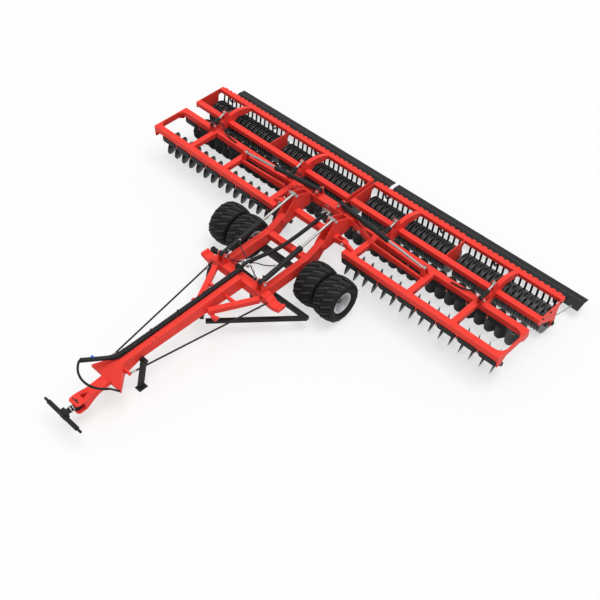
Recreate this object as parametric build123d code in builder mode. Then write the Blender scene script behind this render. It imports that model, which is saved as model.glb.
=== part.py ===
"""Trailed two-row compact disc harrow with folding wings, packer rollers and transport wheels.

X runs across the machine, Y rearwards and Z up from the ground, in millimetres.
The origin is on the ground, at the middle of the machine's length and width.
"""
import os
from math import cos, radians, sin

from build123d import *

os.makedirs("parts", exist_ok=True)

# Overall layout
hitch_reach = 6165        # tilt axis to the front face of the hitch cross shaft
rear_reach = 3110         # tilt axis to the rear edge of the levelling board
y_tilt = (hitch_reach - rear_reach) / 2
z_tilt = 870              # height of the axis on which the harrow tips up
x_fold = 900              # each wing's hinge axis, out from the middle
z_fold = 935
wing_half = 4930          # middle of the machine to a wing's outer end
frame_top = 850           # top of the wing beams
running_gap = 8           # between pieces that move past each other
pin_gap = 0.6             # all round a pin in its bore
centre_gap = 45           # from the middle plane to each wing's inner end

# Disc rows
disc_pitch = 250
disc_diameter = 560
disc_thickness = 6
disc_dish = 58            # depth of the dish
disc_yaw = 17             # angle between a disc's face and the line of travel
disc_camber = 8
disc_trail = 265          # from a beam's centre line back to its discs
front_discs_from = 900    # a row's discs come no nearer to the middle of the machine
middle_discs_from = 300
disc_end_inset = 230      # outermost disc in from the wing's end
notch_count = 10
notch_radius = 17

# Wing frame
beam_width = 140
beam_height = 140
front_row = 215           # rows are measured back from the tilt axis
row_spacing = 835
front_beam_start = 985
cross_stations = (1190, 2670, 3770)
cross_width = 130
cross_height = 110
end_plate = 25
gusset_reach = 150
gusset_height = 60
gusset_edge = 8
housing_width = 360       # one rubber-sprung housing carries two discs
housing_height = 130
housing_depth = 150
arm_thickness = 24
arm_width = 62
hub_diameter = 96
hub_length = 60
boss_length = 34          # from a hub's end to the middle of its arm

# Packer
packer_row = 1495
comb_row = 2240
packer_width = 130
packer_height = 110
comb_width = 120
comb_height = 90
arm_stations = (1350, 3850)
plate_station = 2550
packer_plate = 16
packer_arm_width = 96
pivot_row = 1225          # axis on which a packer swings behind its wing
pivot_height = 735
roller_row = 2020
roller_diameter = 600
roller_tube = 270
ring_pitch = 140
ring_width = 79
ring_flange = 9
ring_web = 250            # radius of the closed side of a ring
scraper_width = 46
scraper_thickness = 10
board_width = 385
board_thickness = 8
board_fall = 160          # from the board's bend back to its rear edge
board_front_height = 200
board_bend_height = 262
board_rear_height = 240
board_overhang = 150

# Centre frame
tower_offset = 560
tower_plate = 20
centre_beam_row = 830
centre_beam_width = 190
centre_beam_height = 180
centre_beam_z = 1075
rear_ear_top = 1145        # below the fold cylinder's barrel
centre_tube_row = 320
centre_tube_size = 140

# Chassis
main_beam_width = 140
main_beam_height = 260
main_beam_top = 815
crossbeam_row = -1700
crossbeam_width = 190
crossbeam_height = 210
crossbeam_top = 800
cradle_reach = 1130
drawbar_width = 220
drawbar_top = 905
drawbar_height = 300
neck_row = -4780
neck_bottom = 520
head_row = -5120
head_half = 440           # half the width of the head, at the foot of the fanned neck
head_height = 610
head_depth = 80
rod_lug_reach = 280       # tie rods' front ends, out from the middle
rod_lug_row = -4760
claw_row = -2700
claw_width = 70
recess_half = 430         # recess along the top of the crossbeam
recess_depth = 14
tongue_front = -5890
tongue_width = 210
fork_half = 135           # the tongue's fork is two flat plates, one over the other
fork_plate = 30
fork_low = 385
fork_high = 595
knuckle_row = tongue_front + 90
shaft_height = 480
shaft_span = 1080
shaft_diameter = 90
shaft_pin = 51
shaft_pin_length = 110
shaft_row = -(hitch_reach - shaft_diameter / 2)

# Wheels
tyre_diameter = 950
tyre_width = 500
tyre_gap = 45
wheel_row = -610
wheel_inner = 745         # inner face of the inner tyre
rim_diameter = 432
rim_width = 392
rim_lip = 24              # how far a rim's lips stand out past its barrel
hub_bore = 90
hub_boss = 190
lug_height = 18
lug_count = 16            # on each side of a tyre's crown
lug_width = 44

# Cylinders
lift_base = (-1690, 1020)         # row and height of the lift cylinders' lower pins
lift_eye = (325, 1340)
lift_barrel = 112
lift_rod = 56
lift_barrel_length = 1110
fold_base = (310, 1275)           # out from the middle, and height
fold_eye = (2560, 1000)
fold_row = 845
fold_barrel = 104
fold_rod = 52
fold_barrel_length = 1310
depth_base = (1000, 985)
depth_eye = (1390, 1115)
depth_barrel = 84
depth_rod = 44
depth_barrel_length = 215
depth_rod_inside = 85      # a depth rod reaches this far into its barrel
cylinder_pin = 46
eye_width = 70

wing_sides = {"left": -1, "right": 1}


def save(piece, name):
    """Label one finished piece and write it under its own name."""
    piece.part.label = name
    export_step(piece.part, f"parts/{name}.step")


def row(distance):
    """Y of a station measured back from the tilt axis."""
    return y_tilt + distance


def line_plane(start, end):
    """Plane at start whose normal points at end, its x kept level."""
    start, end = Vector(*start), Vector(*end)
    direction = (end - start).normalized()
    level = Vector(0, 0, 1).cross(direction)
    if level.length < 0.01:
        level = Vector(1, 0, 0)
    return Plane(origin=start, x_dir=level, z_dir=direction)


def span(start, end):
    """Distance between two points."""
    return (Vector(*end) - Vector(*start)).length


def bar(start, end, width, height):
    """Add a rectangular bar from one point to another."""
    with BuildSketch(line_plane(start, end)) as section:
        Rectangle(width, height)
    extrude(section.sketch, amount=span(start, end))


def rod(start, end, diameter, mode=Mode.ADD):
    """Add or cut a round bar from one point to another."""
    with BuildSketch(line_plane(start, end)) as section:
        Circle(diameter / 2)
    extrude(section.sketch, amount=span(start, end), mode=mode)


def cross_pin(x_from, x_to, y, z, diameter, mode=Mode.ADD):
    """Add or cut a round bar that runs across the machine."""
    rod((x_from, y, z), (x_to, y, z), diameter, mode)


def block(x_range, y_range, z_range, mode=Mode.ADD):
    """Add or cut a box given by its limits along each axis."""
    limits = (sorted(x_range), sorted(y_range), sorted(z_range))
    middle = [(low + high) / 2 for low, high in limits]
    sizes = [high - low for low, high in limits]
    with Locations(tuple(middle)):
        Box(*sizes, mode=mode)


def side_plate(x_from, x_to, outline, mode=Mode.ADD, rounding=0):
    """Extrude an outline of (row, height) points between two X values."""
    near, far = sorted((x_from, x_to))
    points = [(row(distance), height) for distance, height in outline]
    with BuildSketch(Plane.YZ.offset(near)) as profile:
        Polygon(*points, align=None)
        if rounding:
            fillet(profile.vertices(), rounding)
    extrude(profile.sketch, amount=far - near, mode=mode)


def front_plate(y_from, y_to, side, outline, rounding=0):
    """Extrude an outline of (distance out, height) points along Y."""
    near, far = sorted((y_from, y_to))
    plane = Plane(origin=(0, near, 0), x_dir=(side, 0, 0), z_dir=(0, -side, 0))
    amount = (near - far) * side
    with BuildSketch(plane) as profile:
        Polygon(*outline, align=None)
        if rounding:
            fillet(profile.vertices(), rounding)
    extrude(profile.sketch, amount=amount)


def top_plate(z_from, z_to, outline, mode=Mode.ADD, rounding=0):
    """Extrude an outline of (X, row) points between two heights."""
    low, high = sorted((z_from, z_to))
    points = [(x, row(distance)) for x, distance in outline]
    with BuildSketch(Plane.XY.offset(low)) as profile:
        Polygon(*points, align=None)
        if rounding:
            fillet(profile.vertices(), rounding)
    extrude(profile.sketch, amount=high - low, mode=mode)


def cross_plane(distance):
    """Upright plane across the machine, its own x and y along X and Z."""
    return Plane(origin=(0, row(distance), 0), x_dir=(1, 0, 0), z_dir=(0, -1, 0))


def disc_stations(outermost, nearest):
    """Distances out from the middle of one row of a wing's discs, as many pairs as fit."""
    pairs = int((outermost - nearest + disc_pitch) // (2 * disc_pitch))
    return [outermost - disc_pitch * number for number in range(2 * pairs)]


# Chassis
def make_tongue():
    """Tongue under the neck: waisted from above and from the side, with a fork at its front."""
    inner_low, inner_high = fork_low + fork_plate / 2, fork_high - fork_plate / 2
    top = fork_high + fork_plate / 2
    with BuildPart() as tongue:
        side_plate(-fork_half, fork_half, [
            (head_row + 260, 640), (head_row, 640), (head_row - 330, 615), (head_row - 480, top),
            (tongue_front + 20, top), (tongue_front, top - 30), (tongue_front, fork_low),
            (tongue_front + 25, fork_low - fork_plate / 2), (tongue_front + 200, 372),
            (head_row - 380, 440), (head_row - 250, 500), (head_row, 520), (head_row + 260, 520),
        ])
        top_plate(300, 700, [
            (-tongue_width / 2, head_row + 260), (-tongue_width / 2, head_row - 380),
            (-fork_half, head_row - 560), (-fork_half, tongue_front + 60),
            (-tongue_width / 2, tongue_front), (tongue_width / 2, tongue_front),
            (fork_half, tongue_front + 60), (fork_half, head_row - 560),
            (tongue_width / 2, head_row - 380), (tongue_width / 2, head_row + 260),
        ], Mode.INTERSECT)
        block((-200, 200), (row(tongue_front - 10), row(tongue_front + 180)),
              (inner_low, inner_high), Mode.SUBTRACT)
        top_plate(inner_low + 90, top + 10, [
            (-62, tongue_front + 205), (62, tongue_front + 205), (0, tongue_front + 360),
        ], Mode.SUBTRACT, rounding=14)
        rod((0, row(knuckle_row), 300), (0, row(knuckle_row), 700), 60 + 2 * pin_gap, Mode.SUBTRACT)
    return tongue.part


def add_neck(mode=Mode.ADD):
    """Fan of plate that widens from the drawbar's end down to the head."""
    top = drawbar_top - 50
    with BuildSketch(cross_plane(neck_row)) as back:
        with Locations((0, (top + neck_bottom) / 2)):
            Rectangle(drawbar_width, top - neck_bottom)
    with BuildSketch(cross_plane(head_row)) as front:
        with Locations((0, head_height)):
            Rectangle(2 * head_half, head_depth)
    loft([back.sketch, front.sketch], ruled=True, mode=mode)


def make_drawbar(tongue):
    """Box-section drawbar with its fanned neck, tongue, rod lugs and two small claws."""
    half = drawbar_width / 2
    bottom = drawbar_top - drawbar_height
    rear = crossbeam_row - crossbeam_width / 2
    with BuildPart() as drawbar:
        side_plate(-half, half, [
            (rear, drawbar_top), (neck_row, drawbar_top - 50), (neck_row, neck_bottom),
            (neck_row + 420, bottom + 40), (rear, bottom),
        ])
        add_neck()
        block((-rod_lug_reach - 20, rod_lug_reach + 20), (row(rod_lug_row - 40), row(rod_lug_row)),
              (670, 740))
        for side in (-1, 1):
            front_plate(row(claw_row) - claw_width / 2, row(claw_row) + claw_width / 2, side, [
                (half - 20, 636), (215, 634), (262, 606), (300, 606), (330, 655), (372, 640),
                (360, 560), (310, 515), (240, 520), (170, 585), (half - 20, 610),
            ], rounding=12)
        add(tongue)
    save(drawbar, "drawbar")


def make_crossbeam():
    """Crossbeam with the raised cradles that carry the folded wings."""
    y_mid = row(crossbeam_row)
    front, rear = y_mid - crossbeam_width / 2, y_mid + crossbeam_width / 2
    bottom = crossbeam_top - crossbeam_height
    with BuildPart() as crossbeam:
        block((-760, 760), (front, rear), (bottom, crossbeam_top))
        block((-recess_half, recess_half), (y_mid - 45, y_mid + 45),
              (crossbeam_top - recess_depth, crossbeam_top), Mode.SUBTRACT)
        for side in (-1, 1):
            front_plate(front, rear, side, [
                (760, bottom), (960, bottom), (cradle_reach, bottom + 60),
                (cradle_reach, 740), (cradle_reach - 50, 740), (cradle_reach - 100, 690),
                (900, 690), (830, 760), (760, crossbeam_top),
            ], rounding=14)
            for offset in (-1, 1):
                x_lug = side * tower_offset + offset * (lift_barrel / 2 + running_gap + 10)
                side_plate(x_lug - 10, x_lug + 10, [
                    (crossbeam_row - 70, crossbeam_top), (crossbeam_row + 95, crossbeam_top),
                    (lift_base[0] + 55, lift_base[1] - 30), (lift_base[0] + 30, lift_base[1] + 48),
                    (lift_base[0] - 30, lift_base[1] + 48), (lift_base[0] - 60, lift_base[1] - 30),
                ], rounding=18)
                cross_pin(x_lug - 12, x_lug + 12, row(lift_base[0]), lift_base[1],
                          cylinder_pin + 2 * pin_gap, Mode.SUBTRACT)
    save(crossbeam, "crossbeam")


def make_main_beams():
    """The two deep beams from the crossbeam back to the tilt pivots."""
    bottom = main_beam_top - main_beam_height
    start = crossbeam_row + crossbeam_width / 2
    with BuildPart() as main_beams:
        for side in (-1, 1):
            near = side * tower_offset - main_beam_width / 2
            side_plate(near, near + main_beam_width, [
                (start, bottom), (start, main_beam_top), (-420, main_beam_top), (-90, 950),
                (-40, 975), (40, 975), (95, 915), (95, 830), (-120, bottom + 40), (-260, bottom),
            ], rounding=30)
            cross_pin(near - 1, near + main_beam_width + 1, row(0), z_tilt,
                      90 + 2 * pin_gap, Mode.SUBTRACT)
        inner = tower_offset - main_beam_width / 2
        block((-inner, inner), (row(-480), row(-340)), (650, 790))
    save(main_beams, "main_beams")


def make_braces():
    """Diagonal braces from the drawbar out to the crossbeam, with crosspieces."""
    front = row(crossbeam_row - crossbeam_width / 2)
    with BuildPart() as braces:
        for side in (-1, 1):
            bar((side * 150, row(-2750), 700), (side * 640, front - 40, 700), 110, 110)
            bar((side * 110, row(-2230), 700), (side * 420, row(-2230), 700), 60, 60)
        block((-drawbar_width / 2, drawbar_width / 2), (row(-3100), front), (500, 1000),
              Mode.SUBTRACT)
        block((-900, 900), (front, front + 200), (500, 1000), Mode.SUBTRACT)
    save(braces, "drawbar_braces")


def make_axle():
    """Axle beam under the main beams, its hangers and the wheel spindles."""
    y_axle, z_axle = row(wheel_row), tyre_diameter / 2
    bottom = main_beam_top - main_beam_height
    spindle_end = wheel_inner + 1.5 * tyre_width + tyre_gap + 20
    with BuildPart() as axle:
        block((-620, 620), (y_axle - 65, y_axle + 65), (z_axle - 65, z_axle + 65))
        for side in (-1, 1):
            block((side * (tower_offset - 60), side * (tower_offset + 60)),
                  (y_axle - 140, y_axle + 140), (z_axle + 40, bottom))
            cross_pin(side * 600, side * spindle_end, y_axle, z_axle, hub_bore)
    save(axle, "axle_beam")


def make_guard_frame():
    """Black tube frame under the crossbeam that shields the tyres' front."""
    z_guard = 290
    with BuildPart() as guard:
        for side in (-1, 1):
            bar((0, row(-1290), z_guard), (side * 1410, row(-1270), z_guard), 90, 90)
            bar((side * 60, row(-2760), z_guard + 60), (side * 1390, row(-1270), z_guard), 80, 80)
            bar((side * 300, row(-1700), z_guard), (side * 300, row(-1700), 590), 90, 90)
    save(guard, "guard_frame")


def make_tie_rods():
    """Two thin rods that brace the drawbar's front to the crossbeam."""
    with BuildPart() as tie_rods:
        for side in (-1, 1):
            start = (side * rod_lug_reach, row(rod_lug_row), 705)
            end = (side * 800, row(crossbeam_row - crossbeam_width / 2), 680)
            rod(start, end, 36)
        block((-1000, 1000), (row(rod_lug_row - 200), row(rod_lug_row)), (500, 900), Mode.SUBTRACT)
        block((-1000, 1000), (end[1], end[1] + 100), (500, 900), Mode.SUBTRACT)
    save(tie_rods, "tie_rods")


def make_hose_guide():
    """Hose channel along the drawbar, and the hoop that carries the hoses over the tongue."""
    top = drawbar_top + 24
    bend = (-60, row(neck_row), top - 50)
    hoop_left, hoop_right = (-450, row(-5330), 930), (450, row(-5330), 930)
    with BuildPart() as guide:
        bar((-60, row(-1700), top), bend, 90, 44)
        bar(bend, hoop_left, 60, 40)
        with BuildLine() as hoop:
            ThreePointArc(hoop_left, (0, row(-5560), 930), hoop_right)
        with BuildSketch(Plane(origin=hoop.line @ 0, z_dir=hoop.line % 0)) as section:
            Circle(23)
        sweep(section.sketch, path=hoop.line)
        rod(hoop_right, (head_half - 40, row(head_row), head_height), 40)
        add_neck(Mode.SUBTRACT)
    save(guide, "hose_guide")


def make_hitch():
    """Knuckle on the tongue's upright pin, and the cross shaft that the tractor carries."""
    low, high = fork_low + fork_plate / 2, fork_high - fork_plate / 2
    with BuildPart() as knuckle:
        rod((0, row(knuckle_row), low - fork_plate), (0, row(knuckle_row), high + fork_plate), 60)
        rod((0, row(knuckle_row), low + running_gap), (0, row(knuckle_row), high - running_gap), 150)
        rod((0, row(knuckle_row), shaft_height), (0, row(shaft_row + 95), shaft_height), 110)
    save(knuckle, "hitch_knuckle")
    with BuildPart() as shaft:
        block((-75, 75), (row(shaft_row - 30), row(shaft_row + 90)),
              (shaft_height - 80, shaft_height + 80))
        cross_pin(-shaft_span / 2 + shaft_pin_length, shaft_span / 2 - shaft_pin_length,
                  row(shaft_row), shaft_height, shaft_diameter)
        for side in (-1, 1):
            cross_pin(side * (shaft_span / 2 - shaft_pin_length), side * shaft_span / 2,
                      row(shaft_row), shaft_height, shaft_pin)
    save(shaft, "hitch_shaft")


def make_jack():
    """Parking leg that swings up under the drawbar."""
    with BuildPart() as jack:
        bar((drawbar_width / 2 + 60, row(-4370), 640), (drawbar_width / 2 + 60, row(-4540), 13),
            90, 90)
        block((drawbar_width / 2 + running_gap, drawbar_width / 2 + 160),
              (row(-4640), row(-4440)), (0, 14))
        rod((drawbar_width / 2 + running_gap, row(-4370), 640),
            (drawbar_width / 2 + 130, row(-4370), 640), 110)
    save(jack, "jack_leg")


def lug_point(distance):
    """Point under a lug's top, by its distance from the tyre's middle, along one chevron arm."""
    crown = tyre_diameter / 2
    lean = distance * 0.56
    fall = crown * 0.105 * (distance / (tyre_width / 2)) ** 2
    radius = crown - 17 - fall
    return (distance, lean, (radius ** 2 - lean ** 2) ** 0.5)


def make_tyre():
    """One flotation tyre with its chevron lugs, its axis along X through the origin."""
    half, crown = tyre_width / 2, tyre_diameter / 2 - lug_height
    seat, bead = rim_width / 2 - 16, rim_diameter / 2
    with BuildPart() as lug:
        for reach, far in ((0.03, 0.46), (0.46, 0.86)):
            low = lug_point(reach * half)
            high = lug_point(far * half)
            bar(low, high, lug_width, 34)
    with BuildPart() as tyre:
        with BuildSketch(Plane.XY) as section:
            with BuildLine():
                Line((seat, bead + 4), (seat, bead + rim_lip + 6))
                ThreePointArc((seat, bead + rim_lip + 6), (half, crown * 0.73), (half * 0.9, crown - 40))
                ThreePointArc((half * 0.9, crown - 40), (0, crown), (-half * 0.9, crown - 40))
                ThreePointArc((-half * 0.9, crown - 40), (-half, crown * 0.73), (-seat, bead + rim_lip + 6))
                Line((-seat, bead + rim_lip + 6), (-seat, bead + 4))
                Line((-seat, bead + 4), (seat, bead + 4))
            make_face()
        revolve(section.sketch, axis=Axis.X)
        step = 360 / lug_count
        places = [Location((0, 0, 0), (number * step, 0, 0)) for number in range(lug_count)]
        places += [Location((0, 0, 0), ((number + 0.5) * step, 0, 0)) * Location((0, 0, 0), (0, 0, 180))
                   for number in range(lug_count)]
        with Locations(*places):
            add(lug.part)
    return tyre.part


def make_wheels(side, tag, tyre):
    """Twin flotation tyres and their rims on one hub."""
    y_axle, z_axle = row(wheel_row), tyre_diameter / 2
    middles = [side * (wheel_inner + tyre_width / 2 + number * (tyre_width + tyre_gap))
               for number in range(2)]
    with BuildPart() as tyres:
        with Locations(*[(middle, y_axle, z_axle) for middle in middles]):
            add(tyre)
    save(tyres, f"tyres_{tag}")
    lip, barrel, half = rim_diameter / 2 + rim_lip, rim_diameter / 2, rim_width / 2
    with BuildPart() as rims:
        with BuildSketch(Plane.XY.offset(z_axle)) as sections:
            for middle in middles:
                Polygon(*[(middle + x, y_axle + radius) for x, radius in (
                    (-half, lip), (-half + 8, lip), (-half + 10, barrel), (half - 10, barrel),
                    (half - 8, lip), (half, lip), (half, barrel - 12), (60, barrel - 40),
                    (30, barrel - 50), (20, hub_boss / 2), (-20, hub_boss / 2),
                    (-10, barrel - 62), (20, barrel - 52), (-60, barrel - 40),
                    (-half, barrel - 12),
                )], align=None)
        revolve(sections.sketch, axis=Axis((0, y_axle, z_axle), (1, 0, 0)))
        inner_web, outer_web = middles
        cross_pin(inner_web - side * 90, outer_web + side * 60, y_axle, z_axle, hub_boss)
        cross_pin(inner_web - side * 200, outer_web + side * 30, y_axle, z_axle,
                  hub_bore + 2 * pin_gap, Mode.SUBTRACT)
    save(rims, f"rims_{tag}")


# Cylinders
def unit_point(start, end, distance):
    """Point at a distance from start towards end."""
    start, end = Vector(*start), Vector(*end)
    place = start + (end - start).normalized() * distance
    return (place.X, place.Y, place.Z)


def add_barrel(base, eye, length, diameter, pin_axis):
    """Barrel with its gland, and the eye at its base."""
    rod(base, unit_point(base, eye, length), diameter)
    rod(unit_point(base, eye, length - 60), unit_point(base, eye, length), diameter + 14)
    half = Vector(*pin_axis) * (diameter / 2)
    start, end = Vector(*base) - half, Vector(*base) + half
    rod(tuple(start), tuple(end), diameter * 0.9)


def make_lift_cylinders():
    """The pair of cylinders that tip the harrow up."""
    with BuildPart() as barrels:
        for side in (-1, 1):
            base = (side * tower_offset, row(lift_base[0]), lift_base[1])
            eye = (side * tower_offset, row(lift_eye[0]), lift_eye[1])
            add_barrel(base, eye, lift_barrel_length, lift_barrel, (1, 0, 0))
            rod(unit_point(base, eye, 200), unit_point(base, eye, lift_barrel_length + 10),
                lift_rod + 2, Mode.SUBTRACT)
            pin_half = lift_barrel / 2 + running_gap + 32
            cross_pin(base[0] - pin_half, base[0] + pin_half, base[1], base[2], cylinder_pin)
    save(barrels, "lift_barrels")
    with BuildPart() as rods:
        for side in (-1, 1):
            base = (side * tower_offset, row(lift_base[0]), lift_base[1])
            eye = (side * tower_offset, row(lift_eye[0]), lift_eye[1])
            rod(unit_point(base, eye, lift_barrel_length - 30), eye, lift_rod)
            half = main_beam_width / 2
            cross_pin(eye[0] - half, eye[0] + half, eye[1], eye[2], 84)
            cross_pin(eye[0] - half - 1, eye[0] + half + 1, eye[1], eye[2], cylinder_pin,
                      Mode.SUBTRACT)
    save(rods, "lift_rods")


def make_fold_cylinder(side, tag):
    """The cylinder that folds one wing, pinned along Y at both ends."""
    base = (side * fold_base[0], row(fold_row), fold_base[1])
    eye = (side * fold_eye[0], row(fold_row), fold_eye[1])
    pin_half = fold_barrel / 2 + running_gap + 30
    with BuildPart() as barrel:
        add_barrel(base, eye, fold_barrel_length, fold_barrel, (0, 1, 0))
        rod(unit_point(base, eye, 200), unit_point(base, eye, fold_barrel_length + 10),
            fold_rod + 2, Mode.SUBTRACT)
        rod((base[0], base[1] - pin_half, base[2]), (base[0], base[1] + pin_half, base[2]),
            cylinder_pin)
    save(barrel, f"fold_barrel_{tag}")
    with BuildPart() as piston:
        rod(unit_point(base, eye, fold_barrel_length - 30), eye, fold_rod)
        rod((eye[0], eye[1] - 35, eye[2]), (eye[0], eye[1] + 35, eye[2]), 80)
        rod((eye[0], eye[1] - 36, eye[2]), (eye[0], eye[1] + 36, eye[2]), cylinder_pin,
            Mode.SUBTRACT)
    save(piston, f"fold_rod_{tag}")


def make_depth_cylinders(side, tag):
    """The two short cylinders that set one packer's height."""
    pin_half = depth_barrel / 2 + running_gap + 26
    with BuildPart() as barrels:
        for station in arm_stations:
            base = (side * station, row(depth_base[0]), depth_base[1])
            eye = (side * station, row(depth_eye[0]), depth_eye[1])
            add_barrel(base, eye, depth_barrel_length, depth_barrel, (1, 0, 0))
            rod(unit_point(base, eye, 70), unit_point(base, eye, depth_barrel_length + 10),
                depth_rod + 2, Mode.SUBTRACT)
            cross_pin(base[0] - pin_half, base[0] + pin_half, base[1], base[2], 40)
    save(barrels, f"depth_barrels_{tag}")
    with BuildPart() as rods:
        for station in arm_stations:
            base = (side * station, row(depth_base[0]), depth_base[1])
            eye = (side * station, row(depth_eye[0]), depth_eye[1])
            rod(unit_point(base, eye, depth_barrel_length - depth_rod_inside), eye, depth_rod)
            cross_pin(eye[0] - 30, eye[0] + 30, eye[1], eye[2], 72)
            cross_pin(eye[0] - 31, eye[0] + 31, eye[1], eye[2], 36, Mode.SUBTRACT)
    save(rods, f"depth_rods_{tag}")


# Centre frame
def make_towers():
    """Paired tower plates that straddle the main beams and the lift rods."""
    gap = main_beam_width / 2 + running_gap
    beam_front = centre_beam_row - centre_beam_width / 2
    beam_rear = centre_beam_row + centre_beam_width / 2
    beam_bottom = centre_beam_z - centre_beam_height / 2
    with BuildPart() as towers:
        for side in (-1, 1):
            for offset in (-1, 1):
                near = side * tower_offset + offset * gap
                far = near + offset * tower_plate
                side_plate(near, far, [
                    (-105, 830), (-105, 920), (-60, 975), (235, 1270), (268, 1345), (325, 1362),
                    (385, 1340), (beam_front, 1195), (beam_front, beam_bottom),
                    (beam_rear, beam_bottom), (beam_front, 900), (420, 820), (90, 770), (-40, 780),
                ], rounding=24)
            pin_near = side * tower_offset - gap - tower_plate - 14
            pin_far = side * tower_offset + gap + tower_plate + 14
            cross_pin(pin_near, pin_far, row(0), z_tilt, 90)
    half = centre_tube_size / 2
    with BuildPart() as cut_towers:
        add(towers.part)
        block((-2000, 2000), (row(beam_front), row(beam_rear)),
              (beam_bottom, beam_bottom + centre_beam_height), Mode.SUBTRACT)
        block((-2000, 2000), (row(centre_tube_row) - half, row(centre_tube_row) + half),
              (z_fold - half - 20, z_fold + half - 20), Mode.SUBTRACT)
    save(cut_towers, "towers")


def add_hinge_ears(y_mid, z_low, z_high, x_start):
    """Fork of two plates each side of a wing's hinge lug, with its pin."""
    for side in (-1, 1):
        for offset in (-1, 1):
            near = y_mid + offset * (30 + running_gap)
            front_plate(near, near + offset * 22, side, [
                (x_start - 20, z_low), (x_fold - 10, z_fold - 70), (x_fold + 50, z_fold - 55),
                (x_fold + 72, z_fold), (x_fold + 50, z_fold + 55), (x_fold - 10, z_fold + 70),
                (x_start - 20, z_high),
            ], rounding=18)
        rod((side * x_fold, y_mid - 70, z_fold), (side * x_fold, y_mid + 70, z_fold), 70)


def make_centre_frame():
    """Cross tube and cross beam that join the towers and carry the wing hinges."""
    half = centre_tube_size / 2
    z_tube = z_fold - 20
    with BuildPart() as tube:
        block((-720, 720), (row(centre_tube_row) - half, row(centre_tube_row) + half),
              (z_tube - half, z_tube + half))
        add_hinge_ears(row(centre_tube_row), z_tube - half, z_tube + half, 715)
    save(tube, "centre_tube")
    y_mid, half_w, half_h = row(centre_beam_row), centre_beam_width / 2, centre_beam_height / 2
    with BuildPart() as beam:
        block((-720, 720), (y_mid - half_w, y_mid + half_w),
              (centre_beam_z - half_h, centre_beam_z + half_h))
        add_hinge_ears(y_mid, centre_beam_z - half_h, rear_ear_top, 715)
        for side in (-1, 1):
            for offset in (-1, 1):
                near = row(fold_row) + offset * (fold_barrel / 2 + running_gap)
                front_plate(near, near + offset * 16, side, [
                    (fold_base[0] - 70, centre_beam_z + half_h - 10),
                    (fold_base[0] - 40, fold_base[1] + 45), (fold_base[0] + 40, fold_base[1] + 45),
                    (fold_base[0] + 70, centre_beam_z + half_h - 10),
                ], rounding=20)
            rod((side * fold_base[0], row(fold_row) - 90, fold_base[1]),
                (side * fold_base[0], row(fold_row) + 90, fold_base[1]),
                cylinder_pin + 2 * pin_gap, Mode.SUBTRACT)
    save(beam, "centre_beam")


# Wings
def add_corner_gusset(side, y_corner, facing):
    """Quarter-round gusset between the end plate and a beam."""
    outer = side * (wing_half - end_plate)
    with BuildSketch(Plane.XY.offset(frame_top - gusset_height)) as section:
        with Locations((outer - side * gusset_reach / 2, y_corner + facing * gusset_reach / 2)):
            Rectangle(gusset_reach, gusset_reach)
        with Locations((outer - side * gusset_reach, y_corner + facing * gusset_reach)):
            Circle(gusset_reach - gusset_edge, mode=Mode.SUBTRACT)
    extrude(section.sketch, amount=gusset_height)


def make_wing_beams(side, tag):
    """Front and middle beams, cross members and end plate of one wing."""
    bottom = frame_top - beam_height
    outer = wing_half - end_plate
    half = beam_width / 2
    y_front, y_middle = row(front_row), row(front_row + row_spacing)
    with BuildPart() as front:
        block((side * front_beam_start, side * outer), (y_front - half, y_front + half),
              (bottom, frame_top))
    save(front, f"front_beam_{tag}")
    with BuildPart() as middle:
        block((side * centre_gap, side * outer), (y_middle - half, y_middle + half),
              (bottom, frame_top))
        for station in arm_stations:
            for offset in (-1, 1):
                near = side * station + offset * (packer_arm_width / 2 + running_gap)
                side_plate(near, near + offset * 18, [
                    (front_row + row_spacing + half, frame_top),
                    (pivot_row + 40, pivot_height + 70), (pivot_row + 70, pivot_height),
                    (pivot_row + 40, pivot_height - 60), (front_row + row_spacing + half, bottom),
                ])
                near = side * station + offset * (depth_barrel / 2 + running_gap)
                side_plate(near, near + offset * 14, [
                    (depth_base[0] - 30, frame_top), (depth_base[0] - 32, depth_base[1] + 40),
                    (depth_base[0] + 35, depth_base[1] + 40), (depth_base[0] + 70, frame_top),
                ])
            cross_pin(side * station - 90, side * station + 90, row(depth_base[0]), depth_base[1],
                      40 + 2 * pin_gap, Mode.SUBTRACT)
            cross_pin(side * station - 80, side * station + 80, row(pivot_row), pivot_height, 60)
    save(middle, f"middle_beam_{tag}")
    with BuildPart() as cross:
        for station in cross_stations:
            block((side * station - cross_width / 2, side * station + cross_width / 2),
                  (y_front + half, y_middle - half), (frame_top - cross_height, frame_top))
    save(cross, f"cross_members_{tag}")
    with BuildPart() as plate:
        side_plate(side * outer, side * wing_half, [
            (front_row - half, frame_top), (front_row + row_spacing + half, frame_top),
            (front_row + row_spacing + half, frame_top - 200), (front_row + row_spacing - 60, 620),
            (front_row + row_spacing - 200, 700), (front_row + 200, 700), (front_row + 60, 570),
            (front_row - half, 570),
        ], rounding=12)
        add_corner_gusset(side, y_front + half, 1)
        add_corner_gusset(side, y_middle - half, -1)
    save(plate, f"end_plate_{tag}")


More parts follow.
